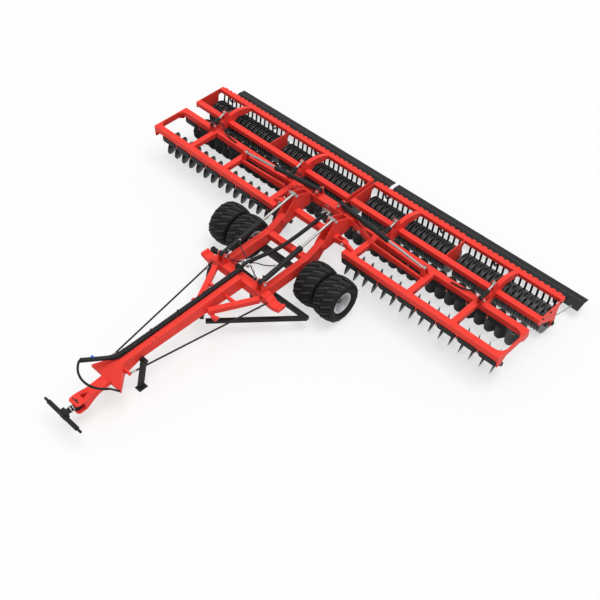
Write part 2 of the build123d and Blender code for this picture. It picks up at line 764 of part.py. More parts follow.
def make_spars(side, tag):
    """Tapered spar rails, hinge lugs and the lugs that the fold cylinder pulls."""
    y_middle = row(front_row + row_spacing)
    inner, outer = cross_stations[0] + cross_width / 2, cross_stations[1] - cross_width / 2
    with BuildPart() as spars:
        for offset in (-1, 1):
            y_rail = row(fold_row) + offset * 95
            front_plate(y_rail - 22, y_rail + 22, side, [
                (inner, frame_top - cross_height), (inner, frame_top + 60),
                (outer, frame_top - 20), (outer, frame_top - cross_height),
            ])
        for offset in (-1, 1):
            near = row(fold_row) + offset * (eye_width / 2 + running_gap)
            front_plate(near, near + offset * 16, side, [
                (fold_eye[0] - 30, frame_top - 60), (fold_eye[0] - 45, fold_eye[1] + 30),
                (fold_eye[0] - 20, fold_eye[1] + 50), (fold_eye[0] + 30, fold_eye[1] + 50),
                (outer + 60, frame_top), (outer, frame_top), (outer, frame_top - 60),
            ])
        for distance in (centre_tube_row, centre_beam_row):
            front_plate(row(distance) - 30, row(distance) + 30, side, [
                (x_fold - 40, z_fold - 50), (x_fold - 62, z_fold), (x_fold - 40, z_fold + 48),
                (x_fold + 20, z_fold + 60), (inner - cross_width, frame_top + 40),
                (inner - cross_width, frame_top - cross_height),
            ])
            rod((side * x_fold, row(distance) - 40, z_fold), (side * x_fold, row(distance) + 40, z_fold),
                70 + 2 * pin_gap, Mode.SUBTRACT)
    save(spars, f"spar_rails_{tag}")


def disc_plane(station, y_beam, facing):
    """Plane of one disc's edge, its normal along the axle towards the dished side."""
    yaw, camber = radians(disc_yaw), radians(disc_camber)
    centre = (station, y_beam + disc_trail, disc_diameter / 2 * cos(camber))
    axle = (facing * cos(yaw) * cos(camber), -sin(yaw) * cos(camber), sin(camber))
    return Plane(origin=centre, x_dir=(facing * sin(yaw), cos(yaw), 0), z_dir=axle)


def pair_places(side):
    """Middles of the disc pairs of one wing as (X, Y of their beam, way they throw)."""
    outermost = wing_half - disc_end_inset
    front = disc_stations(outermost, front_discs_from)
    middle = disc_stations(outermost - disc_pitch / 2, middle_discs_from)
    places = []
    for stations, distance, facing in (
        (front, front_row, -1), (middle, front_row + row_spacing, 1),
    ):
        for outer, inner in zip(stations[::2], stations[1::2]):
            places.append((side * (outer + inner) / 2, row(distance), facing))
    return places


def make_disc():
    """One notched dished disc with its bearing hub, lying on its edge plane."""
    radius = disc_diameter / 2
    sphere = (radius ** 2 + disc_dish ** 2) / (2 * disc_dish)
    inner = sphere - disc_thickness
    inner_edge = ((inner ** 2 - (sphere - disc_dish) ** 2) ** 0.5, 0)
    with BuildPart() as disc:
        with BuildSketch(Plane.XZ) as section:
            with BuildLine():
                RadiusArc((radius, 0), (0, -disc_dish), sphere)
                Line((0, -disc_dish), (0, disc_thickness - disc_dish))
                RadiusArc((0, disc_thickness - disc_dish), inner_edge, -inner)
                Line(inner_edge, (radius, 0))
            make_face()
        revolve(axis=Axis.Z)
        with PolarLocations(radius + 4, notch_count):
            Cylinder(notch_radius, disc_dish, mode=Mode.SUBTRACT)
        with Locations((0, 0, disc_thickness / 2 - disc_dish - hub_length / 2)):
            Cylinder(hub_diameter / 2, hub_length)
    return disc.part


def make_arm_pair(facing):
    """Sprung housing with its two curved arms, about the middle of a disc pair."""
    top = frame_top - beam_height
    low = top - housing_height
    reach = disc_dish + hub_length - disc_thickness / 2
    hubs = [disc_plane(station, 0, facing) for station in (-disc_pitch / 2, disc_pitch / 2)]
    middle = sum((hub.origin - hub.z_dir * (reach + boss_length)).X for hub in hubs) / 2
    with BuildPart() as pair:
        block((middle - housing_width / 2, middle + housing_width / 2),
              (-housing_depth / 2 - 10, housing_depth / 2 - 10), (low, top))
        for hub in hubs:
            hub_end = hub.origin - hub.z_dir * reach
            boss_end = hub_end - hub.z_dir * boss_length
            rod(tuple(hub_end), tuple(boss_end), hub_diameter)
            start = (boss_end.X, -20, low + 10)
            elbow = (boss_end.X, 70, low - 110)
            bar(start, elbow, arm_thickness, arm_width)
            rod((boss_end.X - arm_thickness / 2, elbow[1], elbow[2]),
                (boss_end.X + arm_thickness / 2, elbow[1], elbow[2]), arm_width)
            bar(elbow, tuple(boss_end), arm_thickness, arm_width)
    return pair.part


def make_discs(side, tag, disc):
    """Notched dished discs of one wing."""
    places = []
    for x_pair, y_beam, facing in pair_places(side):
        for offset in (-disc_pitch / 2, disc_pitch / 2):
            places.append(disc_plane(x_pair + offset, y_beam, facing).location)
    with BuildPart() as discs:
        with Locations(*places):
            add(disc)
    save(discs, f"discs_{tag}")


def make_disc_arms(side, tag, arm_pairs):
    """Sprung housings under the beams of one wing, each with the arms of two discs."""
    with BuildPart() as arms:
        for facing, pair in arm_pairs.items():
            spots = [(x, y, 0) for x, y, throw in pair_places(side) if throw == facing]
            with Locations(*spots):
                add(pair)
    save(arms, f"disc_arms_{tag}")


# Packers
def roller_leg():
    """Narrow leg of a packer's plate round the roller's axle, rear edge first."""
    axle = roller_diameter / 2
    return [
        (roller_row + 75, axle + 130), (roller_row + 75, axle - 40), (roller_row + 40, axle - 75),
        (roller_row - 40, axle - 75), (roller_row - 75, axle - 40), (roller_row - 75, axle + 140),
    ]


def make_packer_frame(side, tag):
    """Front beam, comb beam with its clamps, arms, plates and scrapers of one packer."""
    inner, outer = side * centre_gap, side * wing_half
    y_front, y_comb = row(packer_row), row(comb_row)
    bottom = frame_top - packer_height
    plate_inner, plate_outer = side * (centre_gap + packer_plate), side * (wing_half - packer_plate)
    with BuildPart() as front:
        block((plate_inner, plate_outer), (y_front - packer_width / 2, y_front + packer_width / 2),
              (bottom, frame_top))
    save(front, f"packer_beam_{tag}")
    with BuildPart() as comb:
        block((plate_inner, plate_outer), (y_comb - comb_width / 2, y_comb + comb_width / 2),
              (frame_top - comb_height, frame_top))
        for station in ring_stations():
            block((side * station - 35, side * station + 35),
                  (y_comb + comb_width / 2, y_comb + comb_width / 2 + 26),
                  (frame_top - comb_height, frame_top))
    save(comb, f"comb_beam_{tag}")
    with BuildPart() as arms:
        for station in arm_stations:
            near = side * station - packer_arm_width / 2
            side_plate(near, near + packer_arm_width, [
                (pivot_row - 55, pivot_height - 20), (pivot_row - 55, pivot_height + 30),
                (pivot_row + 20, 900), (depth_eye[0] - 90, 960), (packer_row + 150, 1010),
                (packer_row + 330, 1000), (packer_row + 560, 930), (comb_row - comb_width / 2, 850),
                (comb_row - comb_width / 2, 770), (packer_row + 480, 790), (packer_row + 260, 850),
                (packer_row + 120, 740), (pivot_row + 60, 690), (pivot_row, 675),
            ], rounding=12)
            for offset in (-1, 1):
                lug = side * station + offset * (30 + running_gap)
                side_plate(lug, lug + offset * 10, [
                    (depth_eye[0] - 70, 950), (depth_eye[0] - 45, depth_eye[1] + 30),
                    (depth_eye[0], depth_eye[1] + 45), (depth_eye[0] + 50, depth_eye[1] + 25),
                    (depth_eye[0] + 110, 980),
                ], rounding=12)
            cross_pin(near - 1, near + packer_arm_width + 1, row(pivot_row), pivot_height,
                      60 + 2 * pin_gap, Mode.SUBTRACT)
        for near, far in ((inner, plate_inner), (plate_outer, outer)):
            side_plate(near, far, [
                (packer_row - packer_width / 2, frame_top), (comb_row + comb_width / 2, frame_top),
                (comb_row + comb_width / 2, frame_top - comb_height), (roller_row + 110, 700),
                (roller_row + 90, 560), *roller_leg(),
                (packer_row + 80, 640), (packer_row - packer_width / 2, 700),
            ], rounding=12)
        near = side * plate_station - packer_plate / 2
        side_plate(near, near + packer_plate, [
            (packer_row + packer_width / 2, frame_top), (comb_row - comb_width / 2, frame_top),
            (comb_row - comb_width / 2, frame_top - comb_height), (roller_row + 110, 700),
            (roller_row + 90, 560), *roller_leg(),
            (packer_row + packer_width / 2, frame_top - 190),
        ])
        block((-wing_half * 1.2, wing_half * 1.2),
              (y_front - packer_width / 2, y_front + packer_width / 2),
              (bottom, frame_top), Mode.SUBTRACT)
        cross_pin(-wing_half * 1.2, wing_half * 1.2, row(roller_row), roller_diameter / 2,
                  70 + 2 * pin_gap, Mode.SUBTRACT)
    with BuildPart() as capped:
        add(arms.part)
        for near, far in ((inner, plate_inner), (plate_outer, outer)):
            block((near, far), (y_front - packer_width / 2, y_front + packer_width / 2),
                  (bottom, frame_top))
    save(capped, f"packer_arms_{tag}")
    with BuildPart() as scraper:
        bar((0, y_comb - 10, frame_top - comb_height), (0, row(roller_row) + 170, 505),
            scraper_width, scraper_thickness)
        block((-50, 50), (y_comb - 100, y_comb + 100),
              (frame_top - comb_height, frame_top), Mode.SUBTRACT)
    with BuildPart() as scrapers:
        with Locations(*[(side * station, 0, 0) for station in ring_stations()]):
            add(scraper.part)
    save(scrapers, f"scrapers_{tag}")


def ring_stations():
    """Distances out from the middle of the rings on one roller."""
    first = centre_gap + packer_plate + 95
    last = wing_half - packer_plate - 95
    count = int((last - first) // ring_pitch) + 1
    start = (first + last - (count - 1) * ring_pitch) / 2
    stations = [start + ring_pitch * number for number in range(count)]
    clear = ring_width / 2 + packer_plate
    return [station for station in stations if abs(station - plate_station) > clear]


def make_roller(side, tag):
    """Ring roller: a tube on stub shafts with open-sided rings along it."""
    y_mid, z_mid = row(roller_row), roller_diameter / 2
    tube = roller_tube / 2
    start = centre_gap + packer_plate + running_gap
    end = wing_half - packer_plate - running_gap
    with BuildPart() as roller:
        cross_pin(side * centre_gap, side * wing_half, y_mid, z_mid, 70)
        for near, far in ((start, plate_station - 16), (plate_station + 16, end)):
            cross_pin(side * near, side * far, y_mid, z_mid, roller_tube)
        rim, web = y_mid + roller_diameter / 2, y_mid + ring_web
        bore = y_mid + tube - 4
        with BuildSketch(Plane.XY.offset(z_mid)) as sections:
            for station in ring_stations():
                low, high = side * station - ring_width / 2, side * station + ring_width / 2
                Polygon(
                    (low, bore), (low, rim), (low + ring_flange, rim),
                    (low + ring_flange, web), (high - ring_flange, web),
                    (high - ring_flange, rim), (high, rim), (high, bore), align=None,
                )
        revolve(sections.sketch, axis=Axis((0, y_mid, z_mid), (1, 0, 0)))
    save(roller, f"roller_{tag}")


def make_board(side, tag):
    """Levelling board behind the packer, bent along its length, and the arms that hold it."""
    inner, outer = side * centre_gap, side * (wing_half + board_overhang)
    front, rear = rear_reach - board_width, rear_reach
    bend = rear_reach - board_fall
    with BuildPart() as board:
        side_plate(inner, outer, [
            (front, board_front_height), (bend, board_bend_height), (rear, board_rear_height),
            (rear, board_rear_height + board_thickness),
            (bend, board_bend_height + board_thickness),
            (front, board_front_height + board_thickness),
        ])
        for station in (centre_gap + 260, plate_station - 700, plate_station + 700, wing_half - 220):
            start = (side * station, row(comb_row) + 20, frame_top - comb_height - 20)
            knee = (side * station, row(comb_row) + 110, 470)
            end = (side * station, row(bend) - 30, board_bend_height - 4)
            bar(start, knee, 50, 16)
            bar(knee, end, 50, 16)
        block((-wing_half * 1.2, wing_half * 1.2), (row(comb_row) - 200, row(comb_row) + 200),
              (frame_top - comb_height, frame_top + 100), Mode.SUBTRACT)
    save(board, f"rear_board_{tag}")


make_drawbar(make_tongue())
make_crossbeam()
make_main_beams()
make_braces()
make_axle()
make_guard_frame()
make_tie_rods()
make_hose_guide()
make_hitch()
make_jack()
make_lift_cylinders()
make_towers()
make_centre_frame()
disc_piece = make_disc()
arm_pairs = {facing: make_arm_pair(facing) for facing in (-1, 1)}
tyre_piece = make_tyre()
for tag, side in wing_sides.items():
    make_wheels(side, tag, tyre_piece)
    make_wing_beams(side, tag)
    make_spars(side, tag)
    make_discs(side, tag, disc_piece)
    make_disc_arms(side, tag, arm_pairs)
    make_fold_cylinder(side, tag)
    make_depth_cylinders(side, tag)
    make_packer_frame(side, tag)
    make_roller(side, tag)
    make_board(side, tag)
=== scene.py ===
"""Finishes and fine detail of a trailed disc harrow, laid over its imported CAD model."""
from math import cos, pi, radians, sin

import bmesh
import bpy
from mathutils import Matrix, Vector


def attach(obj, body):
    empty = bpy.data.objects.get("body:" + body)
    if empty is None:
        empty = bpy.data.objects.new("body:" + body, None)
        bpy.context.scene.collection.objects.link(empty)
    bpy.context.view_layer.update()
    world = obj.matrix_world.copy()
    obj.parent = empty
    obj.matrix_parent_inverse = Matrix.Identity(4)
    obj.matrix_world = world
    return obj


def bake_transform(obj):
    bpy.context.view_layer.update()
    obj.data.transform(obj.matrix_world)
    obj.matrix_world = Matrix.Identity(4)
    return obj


bl_info = {
    "name": "Disc harrow finishes",
    "version": (1, 0, 0),
    "blender": (4, 5, 0),
    "location": "3D View > Sidebar > Disc harrow",
    "description": "Paints the packed disc harrow and adds its hoses, tread, bolts and fittings",
    "category": "Object",
}

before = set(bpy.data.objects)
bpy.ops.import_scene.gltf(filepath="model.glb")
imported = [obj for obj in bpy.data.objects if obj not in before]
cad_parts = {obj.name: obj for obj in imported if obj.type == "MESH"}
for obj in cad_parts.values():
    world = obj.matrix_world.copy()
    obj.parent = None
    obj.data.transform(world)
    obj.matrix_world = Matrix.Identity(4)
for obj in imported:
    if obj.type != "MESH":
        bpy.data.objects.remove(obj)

# Places shared with the CAD model, in metres; rows are distances behind the tilt axis
TILT_Y = 1.5275
SIDES = {"left": -1, "right": 1}
SHARP_ANGLE = radians(32)
TOWER_X = 0.560
WING_END = 4.930
FRAME_TOP = 0.850
DISC_PITCH = 0.250
DISC_RADIUS = 0.280
DISC_DISH = 0.058
DISC_TRAIL = 0.265
DISC_YAW = radians(17)
DISC_CAMBER = radians(8)
OUTER_DISC = 4.700
# Row of each beam, its number of discs, their shift, the way they throw and its start
BEAM_ROWS = ((0.215, 16, 0.0, -1, 0.985), (1.050, 18, -0.125, 1, 0.045))
HOUSING = (0.360, 0.150, 0.130)
HOUSING_SHIFT = -0.141    # from the middle of two discs to that of their housing
HOUSING_ROW = -0.010      # from a beam's row to that of its housings
BEAM_HEIGHT = 0.140
COVER = (0.044, 0.016)    # length of a housing's end cover, and its middle from the end
COVER_ROOM = 0.040        # how far out a cover needs room
END_PLATE_GAP = 0.034     # covers keep this far inside a wing's end
PLATE_ROOM = 0.060        # plates between housings keep this far from a beam's start
AXLE = (-0.610, 0.475)
WHEEL_MIDDLES = (0.995, 1.540)
RIM_FACE = 0.030
HUB_REACH = 0.060

# Circles of bolts, as the number of bolts and the circle's radius
DISC_BOLTS = (5, 0.052)
WHEEL_NUTS = (8, 0.122)
HUB_BOLTS = (6, 0.079)
BEARING_BOLTS = (4, 0.050)

# Tread of the tyres
TYRE_RADIUS = 0.475
TYRE_HALF = 0.250
LUG_COUNT = 16
LUG_LEAN = 0.56           # how far a lug lags for each metre from the tyre's middle
LUG_DEPTH = 0.017
LUG_FALL = 0.0499         # how far a lug drops towards the shoulder
LUG_SECTION = ((-0.020, -0.013), (-0.013, 0.013), (0.013, 0.013), (0.020, -0.013))
LUG_RUNS = ((0.05, 0.46), (0.46, 0.84))   # parts of the tyre's half width

# Packers
ROLLER = (2.020, 0.300)
BOARD_BEND = (2.950, 0.270)
BOARD_START = 0.050
BOARD_END = 5.075
BOARD_ROD = ((WING_END + 0.010, 2.05, 0.50), (WING_END + 0.006, 2.38, 0.36),
             (WING_END - 0.010, 2.74, 0.225))
COMB_ROW = 2.240
SCRAPERS = (0.156, 4.819)
SCRAPER_PITCH = 0.140
PACKER_BOLTS = ((1.820, 0.790), (1.560, 0.800), (2.160, 0.800))

# Cylinders: their two pins, then length and radius of a barrel, reach and radius of a pin's head
LIFT = ((-1.690, 1.020), (0.325, 1.340))
LIFT_BARREL = (1.110, 0.056)
LIFT_PIN = (0.097, 0.026)
FOLD = ((0.310, 1.275), (2.560, 1.000))
FOLD_ROW = 0.845
FOLD_BARREL = (1.310, 0.052)
FOLD_PIN = (0.091, 0.024)
DEPTH = ((1.000, 0.985), (1.390, 1.115))
DEPTH_BARREL = (0.215, 0.042)
DEPTH_PIN = (0.077, 0.021)
DEPTH_STATIONS = (1.350, 3.850)
BASE_PORT = 0.105         # from a cylinder's base pin
ROD_PORT = 0.090          # from the end of its barrel
LAST_PORT = 0.9           # no port lies beyond this part of the barrel
DEPTH_HOSE_ROWS = (0, 0.034)
DEPTH_HOSE_RADIUS = 0.009
# Points of a depth cylinder's hose, inward from its station, then row and height
DEPTH_HOSE = ((0.050, 1.070, 1.030), (0.130, 1.100, 1.075), (0.250, 1.110, 0.990),
              (0.350, 1.070, 0.870), (0.520, 1.030, 0.861), (0.750, 1.020, 0.861))

# Hinges of the wings, distance out and height, and the heads of their pins and of the towers'
HINGE = (0.900, 0.935)
HINGE_ROWS = (0.320, 0.830)
HINGE_PIN = (0.070, 0.030)
TOWER_PIN = (0.098, 0.026)

# Hoses and pipes as points out, behind the tilt axis and up
HOSE_OFFSETS = (-0.033, -0.011, 0.011, 0.033)
DRAWBAR_HOSE = ((-0.060, -1.62, 0.952), (-0.060, -3.20, 0.928), (-0.060, -4.70, 0.904),
                (-0.085, -4.83, 0.915), (-0.250, -5.06, 0.935), (-0.430, -5.30, 0.955))
CLAMP_ROWS = (-1.95, -2.61, -3.27, -3.93, -4.59)
CLAMP_HEIGHT = 0.968
CLAMP_SLOPE = 0.0158
LIFT_HOSES = (
    ((0.040, -1.50, 1.035), (0.120, -1.44, 1.10), (0.300, -1.42, 1.10), (0.420, -1.33, 1.12),
     (0.500, -1.27, 1.135)),
    ((0.070, -1.52, 1.02), (0.240, -1.60, 0.98), (0.360, -1.61, 0.90), (0.470, -1.63, 0.93),
     (0.505, -1.60, 1.02)),
)
COUPLING_OFFSETS = (-0.135, -0.095, -0.055, 0.0, 0.045)
LIFT_FITTINGS = ((0.535, -1.255, 1.128), (0.528, -1.585, 1.062))
BUNDLE = ((-0.062, -1.64, 0.975), (-0.05, -1.57, 1.02), (-0.03, -1.50, 1.035),
          (-0.01, -1.42, 1.035))
BUNDLE_RADIUS = 0.034
FRONT_PIPE = ((0.020, -1.53, 1.00), (0.140, -1.50, 1.03), (0.235, -1.555, 0.99),
              (0.250, -1.60, 0.90), (0.250, -1.62, 0.81))
FRONT_PIPE_RADIUS = 0.008
SLEEVE = ((-0.01, -1.47, 1.035), (0.01, -1.25, 1.010), (0.03, -1.02, 0.965),
          (0.06, -0.80, 0.940), (0.09, -0.56, 0.955), (0.12, -0.32, 0.995),
          (0.15, -0.08, 1.045), (0.15, 0.14, 1.062), (0.13, 0.34, 1.060),
          (0.10, 0.50, 1.040), (0.07, 0.63, 0.995))
CENTRE_HOSE = ((0.22, 0.64, 0.93), (0.33, 0.66, 0.97), (0.42, 0.72, 1.07),
               (0.44, 0.76, 1.175), (0.46, 0.82, 1.19))

# Profiles as (along, radius), for a size of 1
WASHER = ((-0.1, 0), (-0.1, 0.64), (0.1, 0.64), (0.1, 0))
BOLT_HEAD = ((0, 0), (0, 0.5), (0.5, 0.5), (0.58, 0.42), (0.58, 0))
FITTING = ((0, 0), (0, 1), (1, 1), (1, 0.7), (1.6, 0.7), (1.6, 0.95), (2.8, 0.95), (3.2, 0.6),
           (3.2, 0))

# The hitch's upright pin, and the ends of the tie rods
PIN_ROW = -5.80
COLLAR_REACHES = (0.095, 0.150)
TIE_ROD = ((0.280, -4.76, 0.710), (0.780, -1.90, 0.670))
TIE_ROD_GAP = 0.02

# Light and floor
KEY_WIDTH = radians(40)
KEY_TURN = (radians(-8), radians(10), 0)
FLOOR_HALF = 60.0
FLOOR_DROP = 0.001
FLOOR_GLOW = 0.62

# Nodes by finish; each wing's nodes end in _left or _right
RED_NODES = (
    "drawbar", "crossbeam", "main_beams", "drawbar_braces", "towers", "centre_tube", "centre_beam",
    "front_beam", "middle_beam", "cross_members", "end_plate", "spar_rails", "packer_beam",
    "comb_beam", "packer_arms",
)
BLACK_NODES = (
    "axle_beam", "guard_frame", "tie_rods", "hose_guide", "jack_leg", "hitch_knuckle",
    "hitch_shaft", "lift_barrels", "disc_arms", "scrapers", "rear_board",
    "fold_barrel", "depth_barrels",
)
CHROME_NODES = ("lift_rods", "fold_rod", "depth_rods")
DISC_NODES = ("discs",)
ROLLER_NODES = ("roller",)
TYRE_NODES = ("tyres",)
RIM_NODES = ("rims",)


class HarrowFinishes(bpy.types.PropertyGroup):
    """Colours and gloss of the machine's surfaces."""

    red: bpy.props.FloatVectorProperty(
        name="Frame red", description="Paint of the frame, drawbar and wings",
        default=(0.84, 0.056, 0.042), subtype="COLOR", min=0, max=1)
    black: bpy.props.FloatVectorProperty(
        name="Black paint", description="Paint of the running gear",
        default=(0.0085, 0.0085, 0.0092), subtype="COLOR", min=0, max=1)
    disc: bpy.props.FloatVectorProperty(
        name="Disc steel", description="Dark hardened steel of the discs",
        default=(0.028, 0.029, 0.031), subtype="COLOR", min=0, max=1)
    ring: bpy.props.FloatVectorProperty(
        name="Roller steel", description="Polished dark steel of the roller's rings",
        default=(0.085, 0.085, 0.088), subtype="COLOR", min=0, max=1)
    rubber: bpy.props.FloatVectorProperty(
        name="Tyre rubber", description="Rubber of the tyres",
        default=(0.0062, 0.0062, 0.0066), subtype="COLOR", min=0, max=1)
    silver: bpy.props.FloatVectorProperty(
        name="Rim silver", description="Paint of the wheel rims",
        default=(0.62, 0.63, 0.65), subtype="COLOR", min=0, max=1)
    paint_gloss: bpy.props.FloatProperty(
        name="Paint roughness", description="Roughness of the red paint",
        default=0.34, min=0, max=1, subtype="FACTOR")


class HarrowSizes(bpy.types.PropertyGroup):
    """Sizes of the fittings that are added to the CAD model."""

    hose: bpy.props.FloatProperty(
        name="Hose", description="Outside diameter of a hydraulic hose",
        default=0.022, min=0.005, subtype="DISTANCE", unit="LENGTH")
    sleeve: bpy.props.FloatProperty(
        name="Sleeve", description="Outside diameter of the sleeve round the hoses",
        default=0.086, min=0.02, subtype="DISTANCE", unit="LENGTH")


class HarrowStage(bpy.types.PropertyGroup):
    """Camera and light of the studio view."""

    camera_place: bpy.props.FloatVectorProperty(
        name="Camera", description="Place of the camera in the machine's frame",
        default=(10.213, -8.888, 14.756), subtype="TRANSLATION", unit="LENGTH")
    camera_azimuth: bpy.props.FloatProperty(
        name="Azimuth", description="Turn of the camera about the upright axis",
        default=radians(44.578), subtype="ANGLE", unit="ROTATION")
    camera_tilt: bpy.props.FloatProperty(
        name="Tilt", description="Tilt of the camera up from straight down",
        default=radians(42.366), subtype="ANGLE", unit="ROTATION")
    lens: bpy.props.FloatProperty(
        name="Lens", description="Focal length on a 36 mm sensor",
        default=58.28, min=1, subtype="DISTANCE_CAMERA")
    sky: bpy.props.FloatProperty(
        name="Sky", description="Strength of the even light from all round",
        default=0.58, min=0)
    sun: bpy.props.FloatProperty(
        name="Sun", description="Strength of the soft key light", default=2.05, min=0)


# Shader helpers
def new_group(name, inputs, outputs):
    """Make an empty shader node group and return it with its input and output nodes."""
    group = bpy.data.node_groups.new(name, "ShaderNodeTree")
    for label, kind, value in inputs:
        socket = group.interface.new_socket(label, in_out="INPUT", socket_type=kind)
        socket.default_value = value
    for label, kind in outputs:
        group.interface.new_socket(label, in_out="OUTPUT", socket_type=kind)
    return group, group.nodes.new("NodeGroupInput"), group.nodes.new("NodeGroupOutput")


def add_noise(tree, scale, detail=4.0):
    """Add object-space noise to a node tree; scale is a socket."""
    coordinates = tree.nodes.new("ShaderNodeTexCoord")
    noise = tree.nodes.new("ShaderNodeTexNoise")
    noise.inputs["Detail"].default_value = detail
    tree.links.new(coordinates.outputs["Object"], noise.inputs["Vector"])
    tree.links.new(scale, noise.inputs["Scale"])
    return noise


def mottle_group():
    """Make the group for a colour that drifts a little between two shades."""
    group, inputs, outputs = new_group(
        "mottle",
        [("Base", "NodeSocketColor", (0.5, 0.5, 0.5, 1)), ("Shade", "NodeSocketFloat", 0.8),
         ("Scale", "NodeSocketFloat", 3.0), ("Contrast", "NodeSocketFloat", 0.5)],
        [("Color", "NodeSocketColor")])
    noise = add_noise(group, inputs.outputs["Scale"])
    darker = group.nodes.new("ShaderNodeMix")
    darker.data_type = "RGBA"
    darker.blend_type = "MULTIPLY"
    darker.inputs["Factor"].default_value = 1.0
    grey = group.nodes.new("ShaderNodeCombineColor")
    for channel in ("Red", "Green", "Blue"):
        group.links.new(inputs.outputs["Shade"], grey.inputs[channel])
    group.links.new(inputs.outputs["Base"], darker.inputs["A"])
    group.links.new(grey.outputs["Color"], darker.inputs["B"])
    ramp = group.nodes.new("ShaderNodeMapRange")
    ramp.inputs["From Min"].default_value = 0.35
    ramp.inputs["From Max"].default_value = 0.65
    group.links.new(noise.outputs["Fac"], ramp.inputs["Value"])
    share = group.nodes.new("ShaderNodeMath")
    share.operation = "MULTIPLY"
    group.links.new(ramp.outputs["Result"], share.inputs[0])
    group.links.new(inputs.outputs["Contrast"], share.inputs[1])
    mix = group.nodes.new("ShaderNodeMix")
    mix.data_type = "RGBA"
    group.links.new(share.outputs[0], mix.inputs["Factor"])
    group.links.new(inputs.outputs["Base"], mix.inputs["A"])
    group.links.new(darker.outputs["Result"], mix.inputs["B"])
    group.links.new(mix.outputs["Result"], outputs.inputs["Color"])


def grain_group():
    """Make the group for the height of a fine grain and a roughness that varies with it."""
    group, inputs, outputs = new_group(
        "grain",
        [("Scale", "NodeSocketFloat", 120.0), ("Roughness", "NodeSocketFloat", 0.4),
         ("Spread", "NodeSocketFloat", 0.1)],
        [("Height", "NodeSocketFloat"), ("Roughness", "NodeSocketFloat")])
    noise = add_noise(group, inputs.outputs["Scale"], detail=3.0)
    group.links.new(noise.outputs["Fac"], outputs.inputs["Height"])
    centred = group.nodes.new("ShaderNodeMath")
    centred.operation = "SUBTRACT"
    centred.inputs[1].default_value = 0.5
    group.links.new(noise.outputs["Fac"], centred.inputs[0])
    spread = group.nodes.new("ShaderNodeMath")
    spread.operation = "MULTIPLY_ADD"
    group.links.new(centred.outputs[0], spread.inputs[0])
    group.links.new(inputs.outputs["Spread"], spread.inputs[1])
    group.links.new(inputs.outputs["Roughness"], spread.inputs[2])
    group.links.new(spread.outputs[0], outputs.inputs["Roughness"])


def painted_highlight_edge_group():
    """Make the group for the normal of rounded edges and a mask that picks them out for a painted
    highlight.
    """
    group, inputs, outputs = new_group(
        "painted_highlight_edge", [("Radius", "NodeSocketFloat", 0.006)],
        [("Normal", "NodeSocketVector"), ("Mask", "NodeSocketFloat")])
    rounded = group.nodes.new("ShaderNodeBevel")
    rounded.samples = 6
    group.links.new(inputs.outputs["Radius"], rounded.inputs["Radius"])
    flat = group.nodes.new("ShaderNodeNewGeometry")
    agree = group.nodes.new("ShaderNodeVectorMath")
    agree.operation = "DOT_PRODUCT"
    group.links.new(rounded.outputs["Normal"], agree.inputs[0])
    group.links.new(flat.outputs["Normal"], agree.inputs[1])
    mask = group.nodes.new("ShaderNodeMapRange")
    mask.inputs["From Min"].default_value = 0.995
    mask.inputs["From Max"].default_value = 0.90
    group.links.new(agree.outputs["Value"], mask.inputs["Value"])
    group.links.new(rounded.outputs["Normal"], outputs.inputs["Normal"])
    group.links.new(mask.outputs["Result"], outputs.inputs["Mask"])


def make_finish(name, colour, shade=0.8, mottle_scale=3.0, contrast=0.5, grain=120.0,
                roughness=0.4, spread=0.1, bump=0.05, metallic=0.0, specular=0.5, edge=None):
    """Make a material from the shared groups; edge is the lighter colour painted on its rounded
    edges as a painted highlight.
    """
    material = bpy.data.materials.new(name)
    material.use_nodes = True
    tree = material.node_tree
    shader = tree.nodes["Principled BSDF"]
    mottle = tree.nodes.new("ShaderNodeGroup")
    mottle.node_tree = bpy.data.node_groups["mottle"]
    mottle.inputs["Base"].default_value = (*colour, 1)
    mottle.inputs["Shade"].default_value = shade
    mottle.inputs["Scale"].default_value = mottle_scale
    mottle.inputs["Contrast"].default_value = contrast
    surface = tree.nodes.new("ShaderNodeGroup")
    surface.node_tree = bpy.data.node_groups["grain"]
    surface.inputs["Scale"].default_value = grain
    surface.inputs["Roughness"].default_value = roughness
    surface.inputs["Spread"].default_value = spread
    raised = tree.nodes.new("ShaderNodeBump")
    raised.inputs["Strength"].default_value = bump
    raised.inputs["Distance"].default_value = 0.002
    # Rounded edges take the lighter edge colour, a painted highlight.
    if edge:
        painted_highlight = tree.nodes.new("ShaderNodeGroup")
        painted_highlight.node_tree = bpy.data.node_groups["painted_highlight_edge"]
        tint = tree.nodes.new("ShaderNodeMix")
        tint.data_type = "RGBA"
        tint.inputs["B"].default_value = (*edge, 1)
        tree.links.new(painted_highlight.outputs["Mask"], tint.inputs["Factor"])
        tree.links.new(mottle.outputs["Color"], tint.inputs["A"])
        tree.links.new(tint.outputs["Result"], shader.inputs["Base Color"])
        tree.links.new(painted_highlight.outputs["Normal"], raised.inputs["Normal"])
    else:
        tree.links.new(mottle.outputs["Color"], shader.inputs["Base Color"])
    tree.links.new(surface.outputs["Roughness"], shader.inputs["Roughness"])
    tree.links.new(surface.outputs["Height"], raised.inputs["Height"])
    tree.links.new(raised.outputs["Normal"], shader.inputs["Normal"])
    shader.inputs["Metallic"].default_value = metallic
    shader.inputs["Specular IOR Level"].default_value = specular
    return material


def nodes_named(names):
    """CAD nodes whose name is in names, with or without a wing's ending."""
    return [node for name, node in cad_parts.items()
            if name in names or name.removesuffix("_left").removesuffix("_right") in names]


def paint(nodes, material):
    """Give one material to every slot of each node."""
    for node in nodes:
        node.data.materials.clear()
        node.data.materials.append(material)


